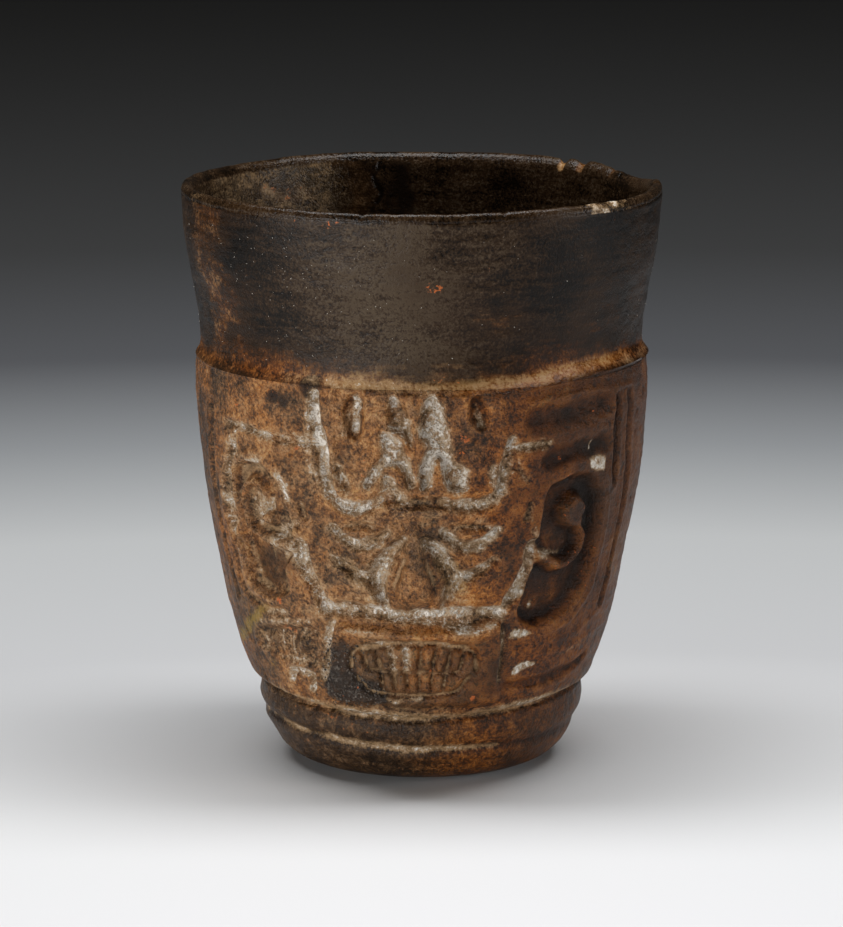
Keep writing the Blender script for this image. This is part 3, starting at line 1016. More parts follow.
def turning_tree():
    tree = bpy.data.node_groups.new("turn a section on the axis", "GeometryNodeTree")
    for name, kind in (("Section", "Object"), ("Steps round", "Int"), ("Clay", "Material")):
        tree.interface.new_socket(name, in_out="INPUT", socket_type=f"NodeSocket{kind}")
    tree.interface.new_socket("Geometry", in_out="OUTPUT", socket_type="NodeSocketGeometry")
    given = add_node(tree, "NodeGroupInput").outputs
    section = add_node(tree, "GeometryNodeObjectInfo", {"Object": given["Section"]}).outputs["Geometry"]
    rows = add_node(tree, "GeometryNodeAttributeDomainSize", {"Geometry": section}).outputs["Point Count"]
    columns = add_node(tree, "ShaderNodeMath", {0: given["Steps round"], 1: 1}, operation="ADD").outputs[0]
    grid = add_node(tree, "GeometryNodeMeshGrid", {"Vertices X": columns, "Vertices Y": rows}).outputs["Mesh"]
    index = add_node(tree, "GeometryNodeInputIndex").outputs["Index"]
    row = add_node(tree, "ShaderNodeMath", {0: index, 1: rows}, operation="MODULO").outputs[0]
    share = add_node(tree, "ShaderNodeMath", {0: index, 1: rows}, operation="DIVIDE").outputs[0]
    column = add_node(tree, "ShaderNodeMath", {0: share}, operation="FLOOR").outputs[0]
    way = add_node(tree, "ShaderNodeMath", {0: column, 1: given["Steps round"]},
                   operation="DIVIDE").outputs[0]
    turn = add_node(tree, "ShaderNodeMath", {0: way, 1: 2 * math.pi}, operation="MULTIPLY").outputs[0]
    place = add_node(tree, "GeometryNodeInputPosition").outputs["Position"]
    point = add_node(tree, "GeometryNodeSampleIndex", {"Geometry": section, "Value": place, "Index": row},
                     data_type="FLOAT_VECTOR", domain="POINT").outputs["Value"]
    turned = add_node(tree, "ShaderNodeVectorRotate", {"Vector": point, "Angle": turn},
                      rotation_type="Z_AXIS").outputs["Vector"]
    moved = add_node(tree, "GeometryNodeSetPosition",
                     {"Geometry": grid, "Position": turned}).outputs["Geometry"]
    noted = add_node(tree, "GeometryNodeStoreNamedAttribute",
                     {"Geometry": moved, "Name": "row", "Value": row}, data_type="FLOAT",
                     domain="POINT").outputs["Geometry"]
    joined = add_node(tree, "GeometryNodeMergeByDistance",
                      {"Geometry": noted, "Distance": 1e-6}).outputs["Geometry"]
    smooth = add_node(tree, "GeometryNodeSetShadeSmooth", {"Geometry": joined}).outputs["Geometry"]
    real = add_node(tree, "GeometryNodeRealizeInstances", {"Geometry": smooth}).outputs["Geometry"]
    done = add_node(tree, "GeometryNodeSetMaterial",
                    {"Geometry": real, "Material": given["Clay"]}).outputs["Geometry"]
    add_node(tree, "NodeGroupOutput", {"Geometry": done})
    return tree


def set_inputs(modifier, values):
    """Sets a Geometry Nodes modifier's inputs through the identifiers of the named sockets."""
    for item in modifier.node_group.interface.items_tree:
        if item.in_out == "INPUT" and item.name in values:
            modifier[item.identifier] = values[item.name]


def made_by(tree, name, values):
    """Runs a tree on an empty mesh and keeps the result as a plain mesh."""
    carrier = add_object(name, bpy.data.meshes.new(name))
    modifier = carrier.modifiers.new(tree.name, "NODES")
    modifier.node_group = tree
    set_inputs(modifier, values)
    graph = bpy.context.evaluated_depsgraph_get()
    mesh = bpy.data.meshes.new_from_object(carrier.evaluated_get(graph))
    carrier.modifiers.remove(modifier)
    bpy.data.objects.remove(carrier)
    mesh.name = name
    return mesh


turning = turning_tree()
print(f"the turning tree has {len(turning.nodes)} nodes")

# %% [markdown]
# ## The base and the collar
#
# A section is a list of (radius, height) points that starts at the outside foot, goes up the outside,
# over the top and down the inside. Long stretches are filled in at one even spacing. After turning, each
# outside point moves out to the uneven wall of the chart, so the turned pieces carry the ledge and the
# creases, and meet the relief wall edge to edge.

# %% Sections turned into clay
FINE_STEP = 0.42
COARSE_STEP = 1.3
BASE_TURNS = 480


def spaced(points, step):
    """Points along a section line at an even spacing, with its corners kept."""
    line = [points[0]]
    for (r0, z0), (r1, z1) in zip(points[:-1], points[1:]):
        count = max(1, round(math.hypot(r1 - r0, z1 - z0) / step))
        line += [(r0 + (r1 - r0) * k / count, z0 + (z1 - z0) * k / count) for k in range(1, count + 1)]
    return line


def turned_piece(name, section, steps_round, clay_material=None):
    """Turns a section and returns its mesh with each point's row, chart place and radius."""
    outline = bpy.data.meshes.new("section")
    outline.from_pydata([(0, -r * MM, z * MM) for r, z in section], [], [])
    profile = add_object("section", outline)
    mesh = made_by(turning, name, {"Section": profile, "Steps round": steps_round, "Clay": clay_material})
    bpy.data.objects.remove(profile)
    row = np.empty(len(mesh.vertices), np.float32)
    mesh.attributes["row"].data.foreach_get("value", row)
    mesh.attributes.remove(mesh.attributes["row"])
    place = np.empty(len(mesh.vertices) * 3)
    mesh.vertices.foreach_get("co", place)
    x, y, z = place.reshape(-1, 3).T / MM
    return mesh, row, np.arctan2(x, -y) * CHART_RADIUS, z, np.hypot(x, y)


def finish_turned(name, mesh, radius, s, z, clay, form):
    """Moves a turned mesh's points to their worked places and stores its finishes."""
    mesh.vertices.foreach_set("co", on_cup(radius, s, z).ravel())
    paint(mesh, clay.finish, form)
    if volume_of(mesh) < 0:
        mesh.flip_normals()
    mesh.set_sharp_from_angle(angle=SHARP_ABOVE)
    mesh.update()
    print(f"{name}: {len(mesh.polygons)} faces, {volume_of(mesh):.1f} cubic centimetres")
    return add_object(name, mesh)


def cup_base():
    top_radius = float(through(BOWL_LINE, np.array([BASE_TOP]))[0])
    outside = [(0, 0)] + [(r, z) for z, r in BOWL_LINE if z < BASE_TOP] + [(top_radius, BASE_TOP)]
    fine = spaced(outside, FINE_STEP)
    inside = [(31.4, BASE_TOP), (30.9, 14), (29.4, 11), (26, 8.4), (19, 7.1), (10, 6.6), (0, 6.5)]
    joint = spaced([fine[-1], inside[0]], COARSE_STEP)[1:]
    lining = spaced(inside, COARSE_STEP)[1:]
    mesh, row, s, z, radius = turned_piece("cup_base", fine + joint + lining, BASE_TURNS)
    outer = row < len(fine) - 0.5
    clay = Clay(s, z)
    age(clay)
    clay.rise = SMALL_GRAIN * unevenness(s, z, 1.6, 1.6, 34) + BROAD_GRAIN * unevenness(s, z, 3.4, 3.4, 35)
    worked = wall_radius(s, z) + clay.rise * soft(z, 0.8, 4)
    off_foot = soft(radius, 23, 29)
    radius = np.where(outer, radius + (worked - radius) * off_foot, radius)
    crease = bell(z - through(BOWL_CREASE, s), 0.9) + bell(z - through(FOOT_CREASE, s) + 0.5, 0.9)
    for amounts in clay.finish.values():
        amounts[~outer] = 0.1
    return finish_turned("cup_base", mesh, radius, s, z, clay, np.where(outer, -0.6 * crease, 0))


base = cup_base()

# %% [markdown]
# ## The rim
#
# The collar ends in a thin rounded lip, smooth at the front and rough at the back right, where two chips
# and a low worn stretch show paler clay. Inside, below the lip, the wall was wiped and then cracked. These
# are moves of the turned points: the rim's height drops where it is worn, and the chips bite inwards.

# %% The collar and its lip
LIP_STEP = 0.24
THROAT_STEP = 0.6
COLLAR_TURNS = 640
RIM_DROP = [
    (-157, 0.5), (-140, 0.1), (-110, 0.5), (-80, 0.2), (-50, 0), (-20, 0.25), (0, 0.35), (30, 0.1), (60, 0.3),
    (72, 0), (80, 0.1), (88, 1.1), (98, 1.8), (106, 1.2), (112, 0.5), (125, 0.3), (140, 0.2), (157, 0.5),
]
CHIPS = [(122.8, 1.6, 0.7), (117.4, 1.9, 0.6), (107, 1.3, 0.35), (76, 1.2, 0.5), (-12, 0.9, 0.25),
         (17, 0.8, 0.35)]


def rim_drop(s):
    """How far in mm the worn rim lies below the highest place of the lip."""
    broken = soft(s, 90, 100) * soft(-s, -128, -122)
    drop = through(RIM_DROP, s) + 0.1 * unevenness(s, 0 * s, 2.6, 10, 41)
    crumbled = 0.2 + 0.16 * unevenness(s, 0 * s, 2.2, 10, 43) + 0.1 * unevenness(s, 0 * s, 0.7, 10, 44)
    drop += broken * crumbled
    rough = 1 + 0.4 * unevenness(s, 0 * s, 0.7, 10, 42)
    for middle, width, depth in CHIPS:
        drop += depth * rough * soft(-abs(s - middle), -width, -0.35 * width)
    return np.maximum(drop, 0)


def mark_inside(finish, s, z):
    """The crack, the stain beside it and the scraped patch that are seen over the front lip."""
    clay = Clay(s, z, 0.9)
    crack = [(-147.8, 133.4), (-148.2, 131.4), (-146.2, 128), (-147.2, 124.6), (-145.6, 121), (-146.2, 116)]
    press(clay, stroke(clay, crack, [2.6, 1.3, 0.8, 1.3, 0.8, 1.6]), -0.4, 0.5)
    mark(clay, stroke(clay, crack, [2.2, 1, 0.6, 1.2, 0.7, 1.4]), "soot", 1, 0.5)
    swell(clay, disc(clay, (-144.2, 120.6), (1.8, 2.6)), 0.3, 1.2)
    mark(clay, stroke(clay, [(-140.6, 132), (-142.4, 127), (-142, 121)], [6, 7, 5]), "worn", 0.5, 3)
    mark(clay, stroke(clay, [(-151, 131), (-152, 126), (-151.6, 118)], [5, 8, 9]), "soot", 0.8, 3)
    scraped = [(-115, 128.4), (-121, 126.6), (-128, 127.6), (-129, 124.4), (-122, 123), (-115, 125)]
    mark(clay, patch(clay, scraped), "worn", 0.85, 2)
    rust = [((-119, 126.4), 1.2), ((-123.4, 125), 1.6), ((-127, 126), 1), ((-116.4, 127.4), 0.8)]
    flecks(clay, rust, "rust", 0.6, 1)
    mark(clay, stroke(clay, [(-136.6, 133.2), (-136.4, 132)], 1.6), "worn", 0.5, 1)
    for name in FINISHES:
        lay(finish, name, clay.finish[name])
    return clay.rise


def collar_section():
    """The collar's section in three runs: the outside, the lip, and the inside down to the joint."""
    lip = RIM_TOP
    outside = [(51, RELIEF_TOP)] + [(r, z) for z, r in COLLAR_LINE if RELIEF_TOP < z < lip - 2]
    over = [(55, lip - 1.4), (54.8, lip - 0.7), (54.45, lip - 0.22), (54, lip), (53.5, lip - 0.08),
            (53, lip - 0.35), (52.5, lip - 0.85), (52.05, lip - 1.6)]
    inside = [(51.65, lip - 2.8), (51.2, lip - 6), (50.4, lip - 12), (49.2, 113.5), (46.6, 102),
              (44.9, RELIEF_TOP)]
    fine = spaced(outside, FINE_STEP)
    edge = spaced([fine[-1]] + over, LIP_STEP)[1:]
    throat = spaced([edge[-1]] + inside[:3], THROAT_STEP)[1:]
    lining = spaced([throat[-1]] + inside[3:], COARSE_STEP)[1:]
    joint = spaced([lining[-1], fine[0]], COARSE_STEP)[1:]
    return fine, edge, throat + lining + joint


def finish_inside(finish, s, z, inner):
    """Smoke kept the inside dark, and dust films one side of it. Returns the dents there in mm."""
    finish["worn"][inner] = 0.05 + 0.06 * unevenness(s, z, 8, 5, 56)[inner]
    finish["lime"][inner] = 0
    finish["rust"][inner] = 0
    finish["dust"][inner] = 0.26 * (soft(-s, 84, 104) * soft(s, -144, -132) * soft(z, 112, 122))[inner]
    finish["warm"][inner] = 0.1
    finish["gloss"][inner] = 0.8 * soft(z[inner], 100, 125)
    scraped = {name: finish[name][inner] for name in FINISHES}
    dent = mark_inside(scraped, s[inner], z[inner])
    for name in FINISHES:
        finish[name][inner] = scraped[name]
    return dent


def finish_lip(finish, s, z, lipped, chipped):
    """The lip keeps its glossy skin, except in the chips and where it is scuffed."""
    finish["worn"] = np.where(lipped, 0.06 + 0.16 * unevenness(s, z, 7, 6, 57), finish["worn"])
    finish["gloss"] = np.where(lipped, 0.75 * (1 - chipped), finish["gloss"])
    lay(finish, "worn", chipped)
    lay(finish, "lime", 0.25 * chipped)
    scuff = lipped * bell(s - 43, 7) * (0.55 + 0.5 * unevenness(s, z, 1.6, 1, 58))
    lay(finish, "lime", scuff)


def burnished_collar():
    fine, edge, rest = collar_section()
    mesh, row, s, z, radius = turned_piece("burnished_collar", fine + edge + rest, COLLAR_TURNS)
    outer = row < len(fine) - 0.5
    lipped = (row >= len(fine) - 0.5) & (row < len(fine) + len(edge) - 0.5)
    inner = row >= len(fine) + len(edge) - 0.5
    clay = Clay(s, z)
    age(clay)
    clay.rise = 0.05 * unevenness(s, z, 1.8, 1.2, 51) + 0.07 * unevenness(s, z, 9, 2.2, 52)
    clay.rise += 0.08 * unevenness(s, z, 6, 6, 53)
    worked = wall_radius(s, z) + clay.rise
    at_lip = wall_radius(s, np.full_like(s, RIM_TOP - 2)) - 55
    settle = soft(z, RIM_TOP - 14, RIM_TOP - 2)
    wiped = 0.12 * unevenness(s, z, 7, 5, 54) * inner * soft(z, 95, 100)
    radius = np.where(outer, worked, radius + at_lip * settle + wiped)
    z = z - rim_drop(s) * soft(z, RIM_TOP - 9, RIM_TOP - 1.2)
    bite = sum(depth * soft(-abs(s - middle), -width, -0.3 * width) for middle, width, depth in CHIPS[:3])
    rough = unevenness(s, z, 0.9, 0.9, 55)
    radius = radius - lipped * (radius > 53.6) * bite * (0.5 + 0.3 * rough)
    chipped = np.clip(bite, 0, 1) * lipped
    radius[inner] -= finish_inside(clay.finish, s, z, inner)
    finish_lip(clay.finish, s, z, lipped, chipped)
    faded = 0.95 * bell(s + 6, 18) - 0.5 * bell(s + 43, 9) - 0.35 * soft(s, 14, 40) * soft(-s, -110, -80)
    above = z - through(LEDGE_LINE, s)
    faded += 1.1 * bell(above - 2.4, 1.5) * soft(s, -30, 8) * soft(-s, -66, -44)
    seen_inside = inner * (0.2 + 0.9 * soft(-s, 84, 110) * soft(s, -142, -130))
    form = np.where(lipped, 0.2 + 0.6 * chipped, faded * outer + seen_inside)
    radius = np.minimum(radius, RIM_REACH - 0.02)
    return finish_turned("burnished_collar", mesh, radius, s, z, clay, form)


collar = burnished_collar()

# %% [markdown]
# ## Fired clay
#
# Blackware is earthenware fired in smoke, which drives carbon into the clay. Burnishing with a smooth
# pebble lays its fine particles flat, so the collar has a soft sheen, but no glaze. Where the black skin
# is rubbed off, the clay under it is brown and duller. One material describes all of this, and a few
# settings tell the three parts apart. It starts from the painted amounts and breaks each of them up with
# noise at the real size of clay grain, so that an amount of a half becomes a speckled patch and not a
# flat tint. Colours are written as they would be matched on a screen and turned to linear light.

# %% Colours of fired clay
def linear(hex_colour):
    """An sRGB hex colour as linear RGBA."""
    parts = [int(hex_colour[i:i + 2], 16) / 255 for i in (1, 3, 5)]
    return [p / 12.92 if p <= 0.04045 else ((p + 0.055) / 1.055) ** 2.4 for p in parts] + [1]


def set_stops(ramp, stops):
    """Gives a colour ramp its stops, each a position and a hex colour."""
    while len(ramp.elements) < len(stops):
        ramp.elements.new(0.5)
    for element, (position, hex_colour) in zip(ramp.elements, stops):
        element.position = position
        element.color = linear(hex_colour)


# Smoked skin, from its deepest black to where it has faded
SMOKED_SKIN = [(0.1, "#070402"), (0.4, "#150d06"), (0.65, "#322315"), (0.9, "#504232")]
# Brown clay under the skin: cool where it was reduced, warm where air reached it in the fire
COOL_CLAY = [(0.05, "#0f0b07"), (0.3, "#2c2014"), (0.5, "#5a412a"), (0.72, "#8a6a4a"), (1, "#b39a7b")]
WARM_CLAY = [(0.05, "#130702"), (0.3, "#3b1b05"), (0.5, "#773f11"), (0.72, "#a9682b"), (1, "#cf9f64")]
# Each layer: painted amount, how coarse its breakup is, how strong, where it starts and ends, its cover
LAYERS = [
    ("ochre", "#8f7430", 0.4, 1.6, 0.2, 0.8, 0.75),
    ("crust", "#1f1a16", 0.2, 1.2, 0.2, 0.7, 0.9),
    ("crust", "#a0968a", 0.1, 3.4, 0.95, 1.4, 0.8),
    ("soot", "#140d08", 0.45, 2.6, 0.3, 0.78, 0.9),
    ("rust", "#bd6430", 0.15, 2.3, 0.55, 0.72, 0.85),
    ("dust", "#b08e66", 0.6, 2.2, 0.1, 0.85, 0.75),
    ("lime", "#c6b298", 0.7, 3, 0.42, 0.95, 0.86),
    ("lime", "#ebe3d8", 0.3, 3.4, 0.66, 1.08, 0.9),
]


# %% Noise at the sizes of clay
PATTERN_SIZES = {"cloud": (14, 3), "mottle": (3.2, 5), "grain": (0.9, 3), "fleck": (0.5, 1)}


def clay_patterns(tree, place):
    """Noise in the sizes, in mm, that fired clay varies at: cloud, mottle, grain and fleck."""
    patterns = {}
    for name, (size, detail) in PATTERN_SIZES.items():
        noise = add_node(tree, "ShaderNodeTexNoise",
                         {"Vector": place, "Scale": 1 / (size * MM), "Detail": detail, "Roughness": 0.68})
        patterns[name] = noise.outputs["Fac"]
    return patterns


def weighed(tree, start, parts):
    """A sum of values: start, then each value less a half times its weight."""
    total = start
    for value, weight in parts:
        centred = add_node(tree, "ShaderNodeMath", {0: value, 1: 0.5}, operation="SUBTRACT").outputs[0]
        total = add_node(tree, "ShaderNodeMath", {0: centred, 1: weight, 2: total},
                         operation="MULTIPLY_ADD").outputs[0]
    return total


# %% The skin, the brown clay under it and what lies on them
def smoked_skin(tree, painted, noise, strokes, high):
    """The colour of the black skin. Where it is only thinned, brown shows through as a tint."""
    tone = weighed(tree, high, [(strokes, 0.7), (noise["grain"], 0.9), (noise["fleck"], 0.8),
                                (noise["cloud"], 0.9)])
    skin = add_node(tree, "ShaderNodeValToRGB", {"Fac": tone})
    set_stops(skin.color_ramp, SMOKED_SKIN)
    thin = weighed(tree, painted["worn"], [(noise["cloud"], 1), (strokes, 0.5)])
    thin = add_node(tree, "ShaderNodeMapRange",
                    {"Value": thin, "From Max": 0.5, "To Max": 0.75}).outputs["Result"]
    return add_node(tree, "ShaderNodeMix",
                    {"Factor_Float": thin, "A_Color": skin.outputs["Color"], "B_Color": linear("#2e1c0c")},
                    data_type="RGBA").outputs[2]


def brown_clay(tree, painted, noise, high):
    """The colour of the clay under the skin, between its cool and its warm ramp."""
    tone = weighed(tree, high, [(noise["mottle"], 0.8), (noise["grain"], 1), (noise["cloud"], 0.8),
                                (noise["fleck"], 0.5)])
    cool = add_node(tree, "ShaderNodeValToRGB", {"Fac": tone})
    warm = add_node(tree, "ShaderNodeValToRGB", {"Fac": tone})
    set_stops(cool.color_ramp, COOL_CLAY)
    set_stops(warm.color_ramp, WARM_CLAY)
    warmth = weighed(tree, painted["warm"], [(noise["cloud"], 1.6), (noise["grain"], 1.2)])
    warmth = add_node(tree, "ShaderNodeMapRange",
                      {"Value": warmth, "From Min": 0.15, "From Max": 0.85}).outputs["Result"]
    return add_node(tree, "ShaderNodeMix", {"Factor_Float": warmth, "A_Color": cool.outputs["Color"],
                                            "B_Color": warm.outputs["Color"]}, data_type="RGBA").outputs[2]


def with_layers(tree, colour, painted, noise, strokes):
    """Lays each of LAYERS over a colour. Also returns the cover of the last one, the bright lime."""
    for amount, hex_colour, coarse, strength, start, end, most in LAYERS:
        parts = [(noise["mottle"], strength * coarse), (noise["grain"], strength * (1 - coarse)),
                 (noise["fleck"], 0.6), (strokes, 0.6)]
        spread = weighed(tree, painted[amount], parts)
        present = add_node(tree, "ShaderNodeMapRange",
                           {"Value": painted[amount], "From Min": 0.04, "From Max": 0.24,
                            "To Max": most}).outputs["Result"]
        cover = add_node(tree, "ShaderNodeMapRange",
                         {"Value": spread, "From Min": start, "From Max": end, "To Max": present},
                         interpolation_type="SMOOTHSTEP").outputs["Result"]
        colour = add_node(tree, "ShaderNodeMix",
                          {"Factor_Float": cover, "A_Color": colour, "B_Color": linear(hex_colour)},
                          data_type="RGBA").outputs[2]
    return colour, cover


print(f"{len(LAYERS)} layers lie on the clay")

# %% The fired clay material
# A step of one in the bump's height stands for this far, in metres: three tenths of a millimetre
BUMP_DISTANCE = 0.0003


def fired_clay(name, burnish):
    """Smoke-fired earthenware; burnish from 0 to 1 says how smooth the black skin was rubbed."""
    material = bpy.data.materials.new(name)
    material.use_nodes = True
    tree = material.node_tree
    shader = tree.nodes["Principled BSDF"]
    place = add_node(tree, "ShaderNodeTexCoord").outputs["Object"]
    noise = clay_patterns(tree, place)
    # The pebble leaves level strokes, so this noise is drawn out sideways
    level = add_node(tree, "ShaderNodeMapping", {"Vector": place, "Scale": (1, 1, 6)}).outputs["Vector"]
    strokes = add_node(tree, "ShaderNodeTexNoise",
                       {"Vector": level, "Scale": 1 / (7 * MM), "Detail": 5}).outputs["Fac"]
    painted = {}
    for amount in (*FINISHES, "form"):
        painted[amount] = add_node(tree, "ShaderNodeAttribute", attribute_name=amount).outputs["Fac"]
    high = add_node(tree, "ShaderNodeMath", {0: painted["form"], 1: 0.36, 2: 0.5},
                    operation="MULTIPLY_ADD").outputs[0]
    skin = smoked_skin(tree, painted, noise, strokes, high)
    brown = brown_clay(tree, painted, noise, high)
    calm = 1 - 0.6 * burnish
    worn = weighed(tree, painted["worn"], [(noise["mottle"], 0.9 * calm), (noise["grain"], 0.6 * calm),
                                           (strokes, 0.5)])
    worn = add_node(tree, "ShaderNodeMapRange",
                    {"Value": worn, "From Min": 0.12 + 0.2 * burnish, "From Max": 0.85 + 0.1 * burnish,
                     "To Max": 1 - 0.25 * burnish}).outputs["Result"]
    colour = add_node(tree, "ShaderNodeMix", {"Factor_Float": worn, "A_Color": skin, "B_Color": brown},
                      data_type="RGBA").outputs[2]
    colour, bright_lime = with_layers(tree, colour, painted, noise, strokes)
    dull = add_node(tree, "ShaderNodeMath", {0: worn, 1: bright_lime}, operation="MAXIMUM").outputs[0]
    rough = add_node(tree, "ShaderNodeMapRange",
                     {"Value": dull, "To Min": 0.4, "To Max": 0.48}).outputs["Result"]
    rough = weighed(tree, rough, [(noise["grain"], 0.5), (strokes, 0.25)])
    rough = add_node(tree, "ShaderNodeMath", {0: painted["gloss"], 1: -0.26, 2: rough},
                     operation="MULTIPLY_ADD").outputs[0]
    height = weighed(tree, bright_lime, [(noise["grain"], 3 * calm), (noise["fleck"], 1)])
    bump = add_node(tree, "ShaderNodeBump",
                    {"Height": height, "Strength": calm, "Distance": BUMP_DISTANCE}).outputs["Normal"]
    tree.links.new(colour, shader.inputs["Base Color"])
    tree.links.new(rough, shader.inputs["Roughness"])
    tree.links.new(bump, shader.inputs["Normal"])
    shader.inputs["Specular IOR Level"].default_value = 0.27 - 0.1 * burnish
    print(f"{name}: {len(tree.nodes)} nodes")
    return material


burnished_clay = fired_clay("burnished blackware", 1.0)
relief_clay = fired_clay("pressed and worn blackware", 0.2)
base_clay = fired_clay("smoothed blackware", 0.5)

for piece, material in ((collar, burnished_clay), (front_wall, relief_clay), (back_wall, relief_clay),
                        (base, base_clay)):
    piece.data.materials.clear()
    piece.data.materials.append(material)

# %% [markdown]
# ## Temper and grit
#
# Potters mix crushed stone or shell into clay so that it dries without cracking. Burnishing drags some of
# these pale grains to the surface, where they sparkle on the front of the collar. Grit from the ground
# sticks to a corner of the mouth panel. Both are scattered grains, so one tree makes them: it spreads
# points over a painted part of a wall, sets a small faceted stone on each, and turns and scales it at
# random from a fixed seed.

# %% The scattering tree
def scattering_tree():
    tree = bpy.data.node_groups.new("scatter grains on a wall", "GeometryNodeTree")
    sockets = (("Wall", "Object"), ("Painted amount", "String"), ("Grains per square metre", "Float"),
               ("Grain size", "Float"), ("Seed", "Int"), ("Stone", "Material"))
    for name, kind in sockets:
        tree.interface.new_socket(name, in_out="INPUT", socket_type=f"NodeSocket{kind}")
    tree.interface.new_socket("Geometry", in_out="OUTPUT", socket_type="NodeSocketGeometry")
    given = add_node(tree, "NodeGroupInput").outputs
    wall = add_node(tree, "GeometryNodeObjectInfo", {"Object": given["Wall"]}).outputs["Geometry"]
    painted = add_node(tree, "GeometryNodeInputNamedAttribute", {"Name": given["Painted amount"]},
                       data_type="FLOAT").outputs["Attribute"]
    density = add_node(tree, "ShaderNodeMath", {0: painted, 1: given["Grains per square metre"]},
                       operation="MULTIPLY").outputs[0]
    spread = add_node(tree, "GeometryNodeDistributePointsOnFaces",
                      {"Mesh": wall, "Density": density, "Seed": given["Seed"]}).outputs
    stone = add_node(tree, "GeometryNodeMeshIcoSphere", {"Radius": 0.5, "Subdivisions": 1}).outputs["Mesh"]
    turn = add_node(tree, "FunctionNodeRandomValue", {"Max": (6.28, 6.28, 6.28), "Seed": given["Seed"]},
                    data_type="FLOAT_VECTOR").outputs["Value"]
    spin = add_node(tree, "FunctionNodeEulerToRotation", {"Euler": turn}).outputs["Rotation"]
    share = add_node(tree, "FunctionNodeRandomValue", {"Min": (0.5, 0.5, 0.4), "Max": (1.3, 1.2, 0.9),
                                                       "Seed": given["Seed"]},
                     data_type="FLOAT_VECTOR").outputs["Value"]
    scale = add_node(tree, "ShaderNodeVectorMath", {0: share, "Scale": given["Grain size"]},
                     operation="SCALE").outputs["Vector"]
    stones = add_node(tree, "GeometryNodeInstanceOnPoints", {"Points": spread["Points"], "Instance": stone,
                                                             "Rotation": spin,
                                                             "Scale": scale}).outputs["Instances"]
    real = add_node(tree, "GeometryNodeRealizeInstances", {"Geometry": stones}).outputs["Geometry"]
    done = add_node(tree, "GeometryNodeSetMaterial",
                    {"Geometry": real, "Material": given["Stone"]}).outputs["Geometry"]
    add_node(tree, "NodeGroupOutput", {"Geometry": done})
    return tree


def stone_material(name, dark, pale, roughness):
    """Crushed stone whose grains differ from each other in tone."""
    material = bpy.data.materials.new(name)
    material.use_nodes = True
    tree = material.node_tree
    shader = tree.nodes["Principled BSDF"]
    place = add_node(tree, "ShaderNodeTexCoord").outputs["Object"]
    tone = add_node(tree, "ShaderNodeTexNoise",
                    {"Vector": place, "Scale": 1 / (0.8 * MM), "Detail": 1.0}).outputs["Fac"]
    ramp = add_node(tree, "ShaderNodeValToRGB", {"Fac": tone})
    set_stops(ramp.color_ramp, [(0.35, dark), (0.65, pale)])
    tree.links.new(ramp.outputs["Color"], shader.inputs["Base Color"])
    shader.inputs["Roughness"].default_value = roughness
    return material


def temper_amount(piece):
    """Paints where burnishing brought temper up: the left half of the collar's front."""
    mesh = piece.data
    place = np.empty(len(mesh.vertices) * 3)
    mesh.vertices.foreach_get("co", place)
    x, y, z = place.reshape(-1, 3).T / MM
    s = np.arctan2(x, -y) * CHART_RADIUS
    outside = np.hypot(x, y) > wall_radius(s, z) - 0.5
    band = soft(z, 97, 102) * soft(-z, -131, -126)
    amount = band * outside * (0.12 + bell(s + 26, 17))
    layer = mesh.attributes.new("temper", "FLOAT", "POINT")
    layer.data.foreach_set("value", amount.astype(np.float32))


temper_amount(collar)
scattering = scattering_tree()
pale_stone = stone_material("crushed temper stone", "#8f8579", "#e4dccf", 0.5)
dark_grit = stone_material("dried grit", "#17130f", "#6d6258", 0.8)
grains = [
    ("temper_grains", collar, "temper", 110000, 0.00023, 7, pale_stone, "burnished_clay"),
    ("panel_grit", front_wall, "crust", 1300000, 0.00062, 8, dark_grit, "relief_clay"),
]
scattered = []
for name, wall, amount, density, size, seed, stone, slot in grains:
    mesh = made_by(scattering, name, {"Wall": wall, "Painted amount": amount,
                                      "Grains per square metre": density, "Grain size": size, "Seed": seed,
                                      "Stone": stone})
    scattered.append((add_object(name, mesh), slot))
    print(f"{name}: {len(mesh.vertices) // 12} grains")

# %% [markdown]
# ## The floor and the light
#
# The cup stands on a plain pale sheet that falls away into shade far behind it. A low, wide panel at the
# left front gives the collar its broad sheen. A strip overhead, the strongest lamp, lights the floor, the
# ledge and the lip. A weak panel opens up the right side, and the room adds only a little light.

# %% The floor
FLOOR_HALF = 4.0
FLOOR_FADE = 2.0
POOL = (0.02, -0.3)

floor_mesh = bpy.data.meshes.new("pale_floor")
floor_corners = [(x * FLOOR_HALF, y * FLOOR_HALF, 0) for x, y in ((-1, -1), (1, -1), (1, 1), (-1, 1))]
floor_mesh.from_pydata(floor_corners, [], [(0, 1, 2, 3)])
floor = add_object("pale_floor", floor_mesh)

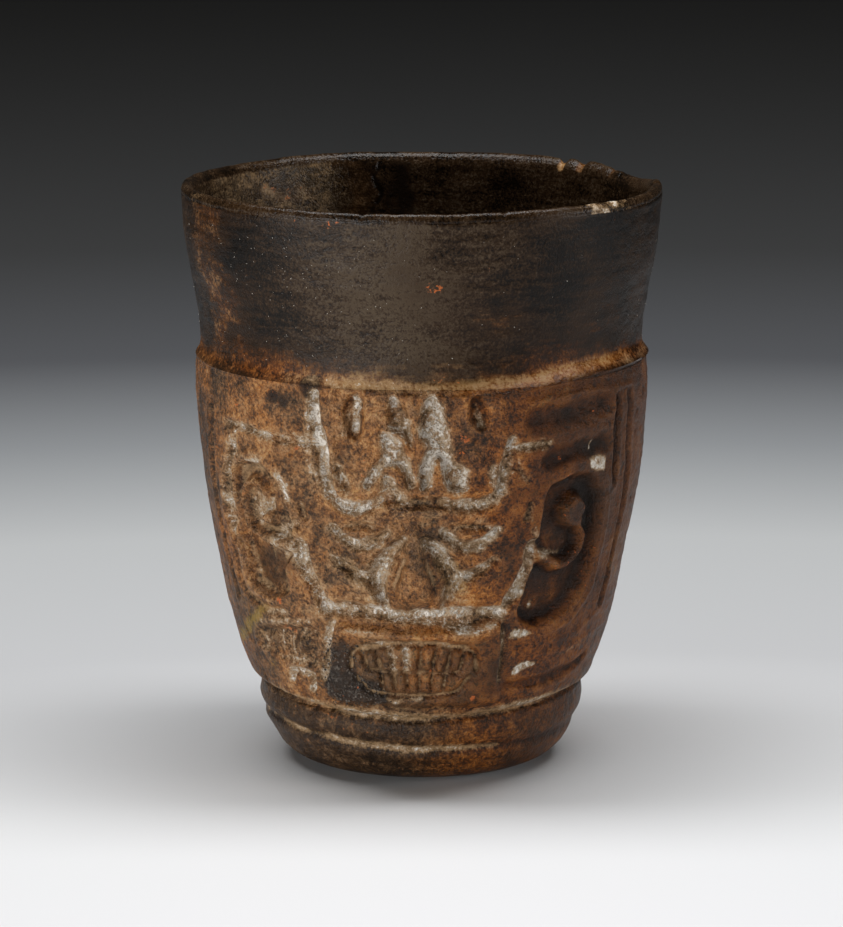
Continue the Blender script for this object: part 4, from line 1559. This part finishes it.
floor_paper = bpy.data.materials.new("matt paper")
floor_paper.use_nodes = True
tree = floor_paper.node_tree
place = add_node(tree, "ShaderNodeTexCoord").outputs["Object"]
reach = add_node(tree, "ShaderNodeVectorMath", {0: place, 1: (*POOL, 0)},
                 operation="DISTANCE").outputs["Value"]
share = add_node(tree, "ShaderNodeMath", {0: reach, 1: FLOOR_FADE}, operation="DIVIDE").outputs[0]
fade = add_node(tree, "ShaderNodeValToRGB", {"Fac": share})
set_stops(fade.color_ramp, [(0.08, "#dfdfe1"), (0.13, "#d8d9da"), (0.2, "#b6b7b9"), (0.27, "#b2b4b5"),
                            (0.34, "#8a8d90"), (0.42, "#54565a"), (0.55, "#444546"), (0.95, "#4b4c4c")])
shader = tree.nodes["Principled BSDF"]
tree.links.new(fade.outputs["Color"], shader.inputs["Base Color"])
shader.inputs["Roughness"].default_value = 0.8
floor_mesh.materials.append(floor_paper)
print(f"the floor is {2 * FLOOR_HALF:.0f} m across")

# %% The lamps and the world
def softbox(name, location, size, power, aim=(0, 0, 0.07)):
    """A rectangular area lamp that looks at the cup."""
    lamp_data = bpy.data.lights.new(name, "AREA")
    lamp_data.shape = "RECTANGLE"
    lamp_data.size, lamp_data.size_y = size
    lamp_data.energy = power
    lamp = bpy.data.objects.new(name, lamp_data)
    lamp.location = location
    away = np.array(location) - np.array(aim)
    lamp.rotation_euler = (math.acos(away[2] / np.linalg.norm(away)), 0, math.atan2(away[0], -away[1]))
    scene.collection.objects.link(lamp)


softbox("left_panel", (-0.66, -0.74, 0.09), (0.95, 0.15), 6.2)
softbox("top_panel", (0, 0.04, 1.05), (1.4, 0.34), 16.2)
softbox("right_panel", (0.98, -0.2, 0.22), (0.4, 0.34), 2.2)
world = bpy.data.worlds.new("studio")
world.use_nodes = True
world.node_tree.nodes["Background"].inputs["Color"].default_value = linear("#a39f99")
world.node_tree.nodes["Background"].inputs["Strength"].default_value = 0.07
scene.world = world
scene.view_settings.view_transform = "Standard"
print("three panels and a dim room")

# %% [markdown]
# ## Handing over
#
# Each new piece names the clay part that it stands for, so the plain solid is hidden, and the material
# slot that it takes its finish from. Nothing on a cup moves, so every piece rides on the one body. The
# last lines note both boxes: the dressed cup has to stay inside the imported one.

ORIGINS = (
    (base, "base_bowl", "base_clay"),
    (front_wall, "front_relief_wall", "relief_clay"),
    (back_wall, "back_relief_wall", "relief_clay"),
    (collar, "collar", "burnished_clay"),
)
for piece, node, slot in ORIGINS:
    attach(piece, "root")
    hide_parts(node)
for piece, slot in scattered:
    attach(piece, "root")
